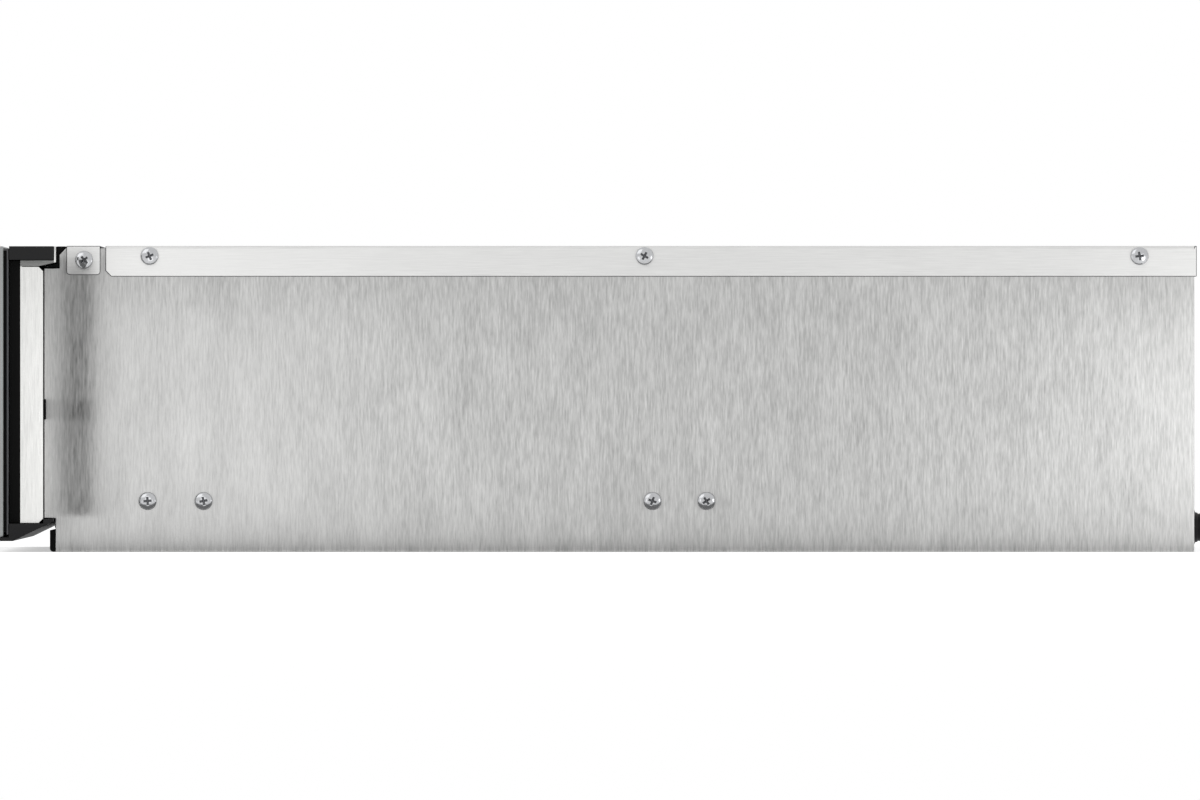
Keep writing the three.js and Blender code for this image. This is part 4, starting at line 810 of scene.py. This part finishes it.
# Outlines as (distance, radius): the hub and the disc's rim from the wheel's front, its shaft from
# the back, and the motor's can with its bearing bore from the front and its boss from the back.
HUB_MM = [(3, 0), (3, 5.8), (3.3, 6.6), (4.1, 7.0), (17.2, 7.0), (17.8, 7.3), (WHEEL_DISC_MM, 8.0)]
RIM_MM = [(WHEEL_DISC_MM, WHEEL_RADIUS_MM - RIM_INSET_MM), (18.6, WHEEL_RADIUS_MM),
          (19.2, WHEEL_RADIUS_MM - RIM_INSET_MM), (19.2, 2.5)]
SHAFT_MM = [(0.4, 2.5), (0, 2.1), (0, 0)]
CAN_MM = [(15, 0), (15, 2.85), (0, 2.85), (0, 18.9), (0.3, 19.7), (1.1, 20), (3.6, 20), (3.9, 19.6),
          (4.6, 19.6), (4.9, 20)]
BOSS_MM = [(8.9, 20), (8.6, 19.6), (7.9, 19.6), (7.6, 20), (5.4, 20), (4.5, 19.6), (4, 18.6),
           (4, 8.5), (3.7, 8), (0.4, 8), (0, 7.6), (0, 0)]
# Drawn zinc sheet, the pan's own. Rolled alloy, satin. Baked black lacquer on the motor.
wheel_alloy = grained("stamped_fan_alloy", WHEEL_ALLOY, grain_mm=0.9, tone=(0.9, 1.1),
                      roughness=(0.3, 0.42), relief_mm=0.02, Metallic=1.0)
lacquer = grained("baked_motor_lacquer", LACQUER, grain_mm=0.8, tone=(0.85, 1.2),
                  roughness=(0.35, 0.48), relief_mm=0.03)
eased("fan_housing", "fan_housing_shell", "drawer", "zinc_steel", zinc_coat, ease_mm=0.2)

wheel = lathe("fan_wheel", from_both_ends("fan_impeller", HUB_MM + RIM_MM, SHAFT_MM), axis="Y",
              steps=WHEEL_STEPS)
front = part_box("fan_impeller")[0][1] / MM
blades = []
for blade in range(BLADES):
    points = []
    for step in range(BLADE_STEPS + 1):
        t = step / BLADE_STEPS
        radius = WHEEL_EYE_MM + (WHEEL_RADIUS_MM - RIM_INSET_MM - WHEEL_EYE_MM) * t
        angle = 2 * math.pi * blade / BLADES + BLADE_SWEEP * t ** BLADE_CURVE
        points.append((radius * math.cos(angle), front, radius * math.sin(angle)))
    vane = drawn(f"vane_{blade}", points)
    reach = (WHEEL_DISC_MM + BLADE_ROOT_MM) * MM
    bpy.ops.mesh.extrude_region_move(TRANSFORM_OT_translate={"value": (0, reach, 0)})
    bpy.ops.object.mode_set(mode="OBJECT")
    applied(vane, "SOLIDIFY", thickness=BLADE_MM * MM, offset=0)
    applied(vane, "BEVEL", width=BLADE_EASE_MM * MM, segments=EASE_STEPS, limit_method="ANGLE",
            angle_limit=math.radians(BLADE_EASE_DEGREES))
    blades.append(vane)
joined(wheel, blades)
bpy.ops.object.transform_apply(location=True, rotation=True, scale=True)
centred(wheel, "fan_impeller")
settled(wheel, wheel_alloy, "impeller", "bright_steel", "fan_impeller")

motor = lathe("fan_motor_can", from_both_ends("fan_motor", CAN_MM, BOSS_MM), axis="Y",
              steps=MOTOR_STEPS)
centred(motor, "fan_motor")
settled(motor, lacquer, "drawer", "motor_steel", "fan_motor")
eased("thermal_limiter", "limiter_switch", "drawer", "white_plastic", white_nylon, ease_mm=0.2)


# ---------------------------------------------------------------------------
# Door carrier and inner pan: a ribbed black carrier behind the glass, and the
# folded stainless pan whose hem runs back under the cap and rises behind it.
# ---------------------------------------------------------------------------
POWDER = "#070707"
PAN_STEEL = "#dadad8"
HEM_SHADE_STEEL = "#868685"
HEM_MM = 2.75
PAN_SHEET_MM = 0.8
# Polyester powder coat: satin black with a light orange peel.
powder = grained("black_powder_coat", POWDER, grain_mm=0.9, tone=(0.85, 1.2), roughness=(0.5, 0.6),
                 relief_mm=0.05, Specular_IOR_Level=0.08)
# Bright annealed stainless, only lightly brushed, so it reads almost white.
pan_steel = brushed_steel("stainless_bright_annealed", PAN_STEEL, along=2, width_mm=0.6,
                          length_mm=9.0, tone=(0.93, 1.05), roughness=0.22, spread=0.0)
eased("door_carrier", "front_carrier", "drawer", "black_paint", powder, ease_mm=0.2)
# The hem's end faces take a darker steel: painted shade, for the black cap hanging over them.
shaded_hem_steel = brushed_steel("stainless_hem_painted_shade", HEM_SHADE_STEEL, along=1, width_mm=0.5,
                           length_mm=6.0, tone=(0.8, 1.2), roughness=0.3)
pan = eased("front_pan", "front_inner_pan", "drawer", "brushed_steel", pan_steel, ease_mm=0.12)
pan.data.materials.append(shaded_hem_steel)
# The hem lies above a level plane and in front of an upright one, which split the pan's end faces.
hem_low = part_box("door_carrier")[1][2] - HEM_MM * MM
lip_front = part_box("front_pan")[1][1] - PAN_SHEET_MM * MM
bpy.ops.object.select_all(action="DESELECT")
pan.select_set(True)
bpy.context.view_layer.objects.active = pan
bpy.ops.object.mode_set(mode="EDIT")
for place, normal in (((0, 0, hem_low), (0, 0, 1)), ((0, lip_front, 0), (0, 1, 0))):
    picked(pan, "faces", lambda face: abs(face.normal.x) > FACING)
    bpy.ops.mesh.bisect(plane_co=place, plane_no=normal)
bpy.ops.object.mode_set(mode="OBJECT")
# The hem's end faces get the painted shade.
for face in pan.data.polygons:
    if abs(face.normal.x) > FACING and face.center.z > hem_low and face.center.y < lip_front:
        face.material_index = 1


# ---------------------------------------------------------------------------
# Buffers and grip lip: two rubber pads on the pan's rear face that meet the
# casing, and the moulded lip that the fingers pull under the glass.
# ---------------------------------------------------------------------------
ABS_BLACK = "#101011"
# ABS with a fine spark-eroded grain: black with a soft, even sheen.
black_abs = grained("black_grained_abs", ABS_BLACK, grain_mm=0.45, tone=(0.85, 1.2),
                    roughness=(0.42, 0.54), relief_mm=0.04, Specular_IOR_Level=0.24)
for hand in ("right", "left"):
    eased(f"{hand}_buffer", f"{hand}_rubber_buffer", "drawer", "black_rubber", rubber, ease_mm=0.2)
eased("door_grip_lip", "front_grip_lip", "drawer", "black_plastic", black_abs, ease_mm=0.2)


# ---------------------------------------------------------------------------
# Front glass: 4 mm toughened glass, black behind, stuck by a tape frame to a
# zinc backplate. Its face is polished and its edges are ground.
# ---------------------------------------------------------------------------
GLASS_BLACK = "#08090a"
GROUND_EDGE = "#abaead"
RIPPLE_MM = 62.5
RIPPLE_DEPTH_MM = 0.1
RIPPLE_RELIEF = 0.12
HAZE_MM = 16.667
HAZE_TONE = (0.85, 1.15)
# Black enamelled glass: a clear, deep gloss with the long ripple of toughening.
black_glass, tree, shader = new_material("black_enamelled_glass", GLASS_BLACK, Roughness=0.03)
place = add_node(tree, "ShaderNodeTexCoord").outputs["Object"]
ripple = add_node(tree, "ShaderNodeTexNoise", {"Scale": 1 / (RIPPLE_MM * MM), "Detail": 0.0},
                  {"Vector": place})
wave = add_node(tree, "ShaderNodeBump", {"Strength": RIPPLE_RELIEF, "Distance": RIPPLE_DEPTH_MM * MM},
                {"Height": ripple.outputs["Fac"]})
tree.links.new(wave.outputs[0], shader.inputs["Normal"])
haze = add_node(tree, "ShaderNodeTexNoise", {"Scale": 1 / (HAZE_MM * MM), "Detail": 5.0},
                {"Vector": place})
toned(tree, shader, GLASS_BLACK, ranged(tree, haze.outputs["Fac"], *HAZE_TONE))
# The ground edge scatters light and shows the glass's own grey green.
ground = grained("ground_glass_edge", GROUND_EDGE, grain_mm=0.3, tone=(0.9, 1.1),
                 roughness=(0.35, 0.5), relief_mm=0.02)
backplate = eased("glass_backplate", "front_backplate", "drawer", "zinc_steel", zinc_coat,
                  ease_mm=0.1, edge_material=sheared_edge_and_shade)
eased("glass_tape", "front_glass_tape", "drawer", "black_rubber", rubber, ease_mm=0.1)
pane = eased("front_glass", "front_glass_pane", "drawer", "front_glass", black_glass,
             ease_mm=0.25, edge_material=ground)
# All round the rim of each sheet, not only on its broken edges, the cut surface shows; on the backplate
# that is the sheared edge with its painted shade.
for sheet in (pane, backplate):
    for face in sheet.data.polygons:
        if abs(face.normal.y) < FACING:
            face.material_index = 1


# ---------------------------------------------------------------------------
# Control strip: the green board under the top cap, the moulded cap, the smoked
# window with its four lamps, and two keys with plain printed marks.
# ---------------------------------------------------------------------------
SOLDER_MASK = "#2e5f3e"
SMOKE = "#26292c"
LAMP_WINDOW = "#8d8f90"
MARK_INK = "#c9cacb"
LENS_GLOSS = (0.07, 0.2)
LAMPS = 4
LAMP_PITCH_MM = 8.0
LAMP_RADIUS_MM = 0.9
MARK_LIFT_MM = 0.05
MARK_ROUND_STEPS = 5
MARK_RING_STEPS = 40
RING_RADIUS_MM = 2.1
RING_OPEN_DEGREES = 70
STROKE_MM = (0.45, 2.2)
STROKE_PLACE_MM = 1.5
STROKE_ROUND_MM = 0.2
STEM_MM = (0.9, 3.4)
STEM_PLACE_MM = 0.7
STEM_ROUND_MM = 0.43
BULB_MM = (1.8, 1.8)
BULB_PLACE_MM = -1.4
BULB_ROUND_MM = 0.88
FIGURE_MM = 2.6
FIGURE_PLACE_MM = 3.2


def top_middle(node):
    """The middle of a node's top face, in mm."""
    low, high = (Vector(v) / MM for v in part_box(node))
    return Vector(((low.x + high.x) / 2, (low.y + high.y) / 2, high.z))


# Solder mask: glossy green over copper. Polycarbonate: smoky, with paler lamp windows.
solder_mask = grained("green_solder_mask", SOLDER_MASK, grain_mm=1.2, tone=(0.85, 1.15),
                      roughness=(0.3, 0.42), relief_mm=0.02)
eased("control_board", "control_circuit_board", "drawer", "circuit_board", solder_mask, ease_mm=0.1)
eased("door_top_cap", "front_top_cap", "drawer", "black_plastic", black_abs, ease_mm=0.25)

lens_middle = top_middle("indicator_lens")
smoke, tree, shader = new_material("smoked_polycarbonate", SMOKE)
lamp_grid = (lens_middle.x + LAMP_PITCH_MM / 2, lens_middle.y)
lamps = dot_mask(tree, LAMP_PITCH_MM, LAMP_RADIUS_MM, lamp_grid)
spotted(tree, shader, lamps, (SMOKE, LAMP_WINDOW), LENS_GLOSS)
eased("indicator_lens", "indicator_window", "drawer", "smoked_lens", smoke, ease_mm=0.2)
for key in ("power", "temperature"):
    eased(f"{key}_key", f"{key}_key_cap", f"{key}_button", "black_plastic", black_abs, ease_mm=0.3)

# Pad-printed ink, slightly raised: light grey and matt.
ink = grained("pad_printed_ink", MARK_INK, grain_mm=0.3, tone=(0.94, 1.04), roughness=(0.55, 0.7),
              relief_mm=0.0)


def bar(name, middle, away, size, round_mm):
    """A flat printed bar with rounded ends, some way from a middle along Y; all in mm."""
    made = begun(name, bpy.ops.mesh.primitive_cube_add)
    bpy.ops.transform.resize(value=(*size, MARK_LIFT_MM))
    bpy.ops.transform.translate(value=(middle + Vector((0, away, 0))) * MM)
    half_lift = MARK_LIFT_MM * MM / 2
    picked(made, "edges", lambda edge: abs(edge.verts[0].co.z - edge.verts[1].co.z) > half_lift)
    bpy.ops.mesh.bevel(offset=round_mm * MM, segments=MARK_ROUND_STEPS, affect="EDGES")
    bpy.ops.object.mode_set(mode="OBJECT")
    return made


def ring(name, middle, radius, width, open_degrees):
    """A flat printed ring, open by some degrees at its far side (+Y); all in mm."""
    made = begun(name, bpy.ops.mesh.primitive_plane_add)
    bpy.ops.transform.rotate(value=math.pi / 2, orient_axis="Y", center_override=(0, 0, 0))
    bpy.ops.transform.resize(value=(0, width, MARK_LIFT_MM))
    bpy.ops.transform.translate(value=(0, radius * MM, 0))
    half_open = math.radians(open_degrees / 2)
    bpy.ops.transform.rotate(value=-half_open, orient_axis="Z", center_override=(0, 0, 0))
    bpy.ops.mesh.spin(steps=MARK_RING_STEPS, angle=2 * math.pi - 2 * half_open, center=(0, 0, 0),
                      axis=(0, 0, 1))
    bpy.ops.mesh.select_all(action="SELECT")
    bpy.ops.mesh.remove_doubles(threshold=WELD_MM * MM)
    bpy.ops.mesh.normals_make_consistent(inside=False)
    bpy.ops.transform.translate(value=Vector(middle) * MM)
    bpy.ops.object.mode_set(mode="OBJECT")
    return made


def marked(piece, body):
    """Gives a printed mark its ink and its body."""
    bpy.ops.object.select_all(action="DESELECT")
    piece.data.materials.clear()
    piece.data.materials.append(ink)
    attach(piece, body)


# The power sign is an open ring with a stroke in its gap, the heat sign a thermometer.
middle = top_middle("power_key")
power_mark = joined(ring("power_mark", middle, RING_RADIUS_MM, STROKE_MM[0], RING_OPEN_DEGREES),
                    [bar("power_stroke", middle, STROKE_PLACE_MM, STROKE_MM, STROKE_ROUND_MM)])
marked(power_mark, "power_button")

middle = top_middle("temperature_key")
heat_mark = joined(bar("temperature_mark", middle, STEM_PLACE_MM, STEM_MM, STEM_ROUND_MM),
                   [bar("temperature_bulb", middle, BULB_PLACE_MM, BULB_MM, BULB_ROUND_MM)])
marked(heat_mark, "temperature_button")

# A plain figure beside each lamp, behind it as seen from the front.
for index in range(LAMPS):
    bpy.ops.object.select_all(action="DESELECT")
    bpy.ops.object.text_add()
    figure = bpy.context.object
    figure.name = f"lamp_number_{index + 1}"
    figure.data.body = str(index + 1)
    figure.data.size = FIGURE_MM * MM
    figure.data.align_x = "CENTER"
    figure.data.extrude = MARK_LIFT_MM * MM / 2
    bpy.ops.object.convert(target="MESH")
    across = (index - (LAMPS - 1) / 2) * LAMP_PITCH_MM
    place = lens_middle + Vector((across, FIGURE_PLACE_MM, 0))
    figure.data.transform(Matrix.Translation(place * MM))
    marked(figure, "drawer")
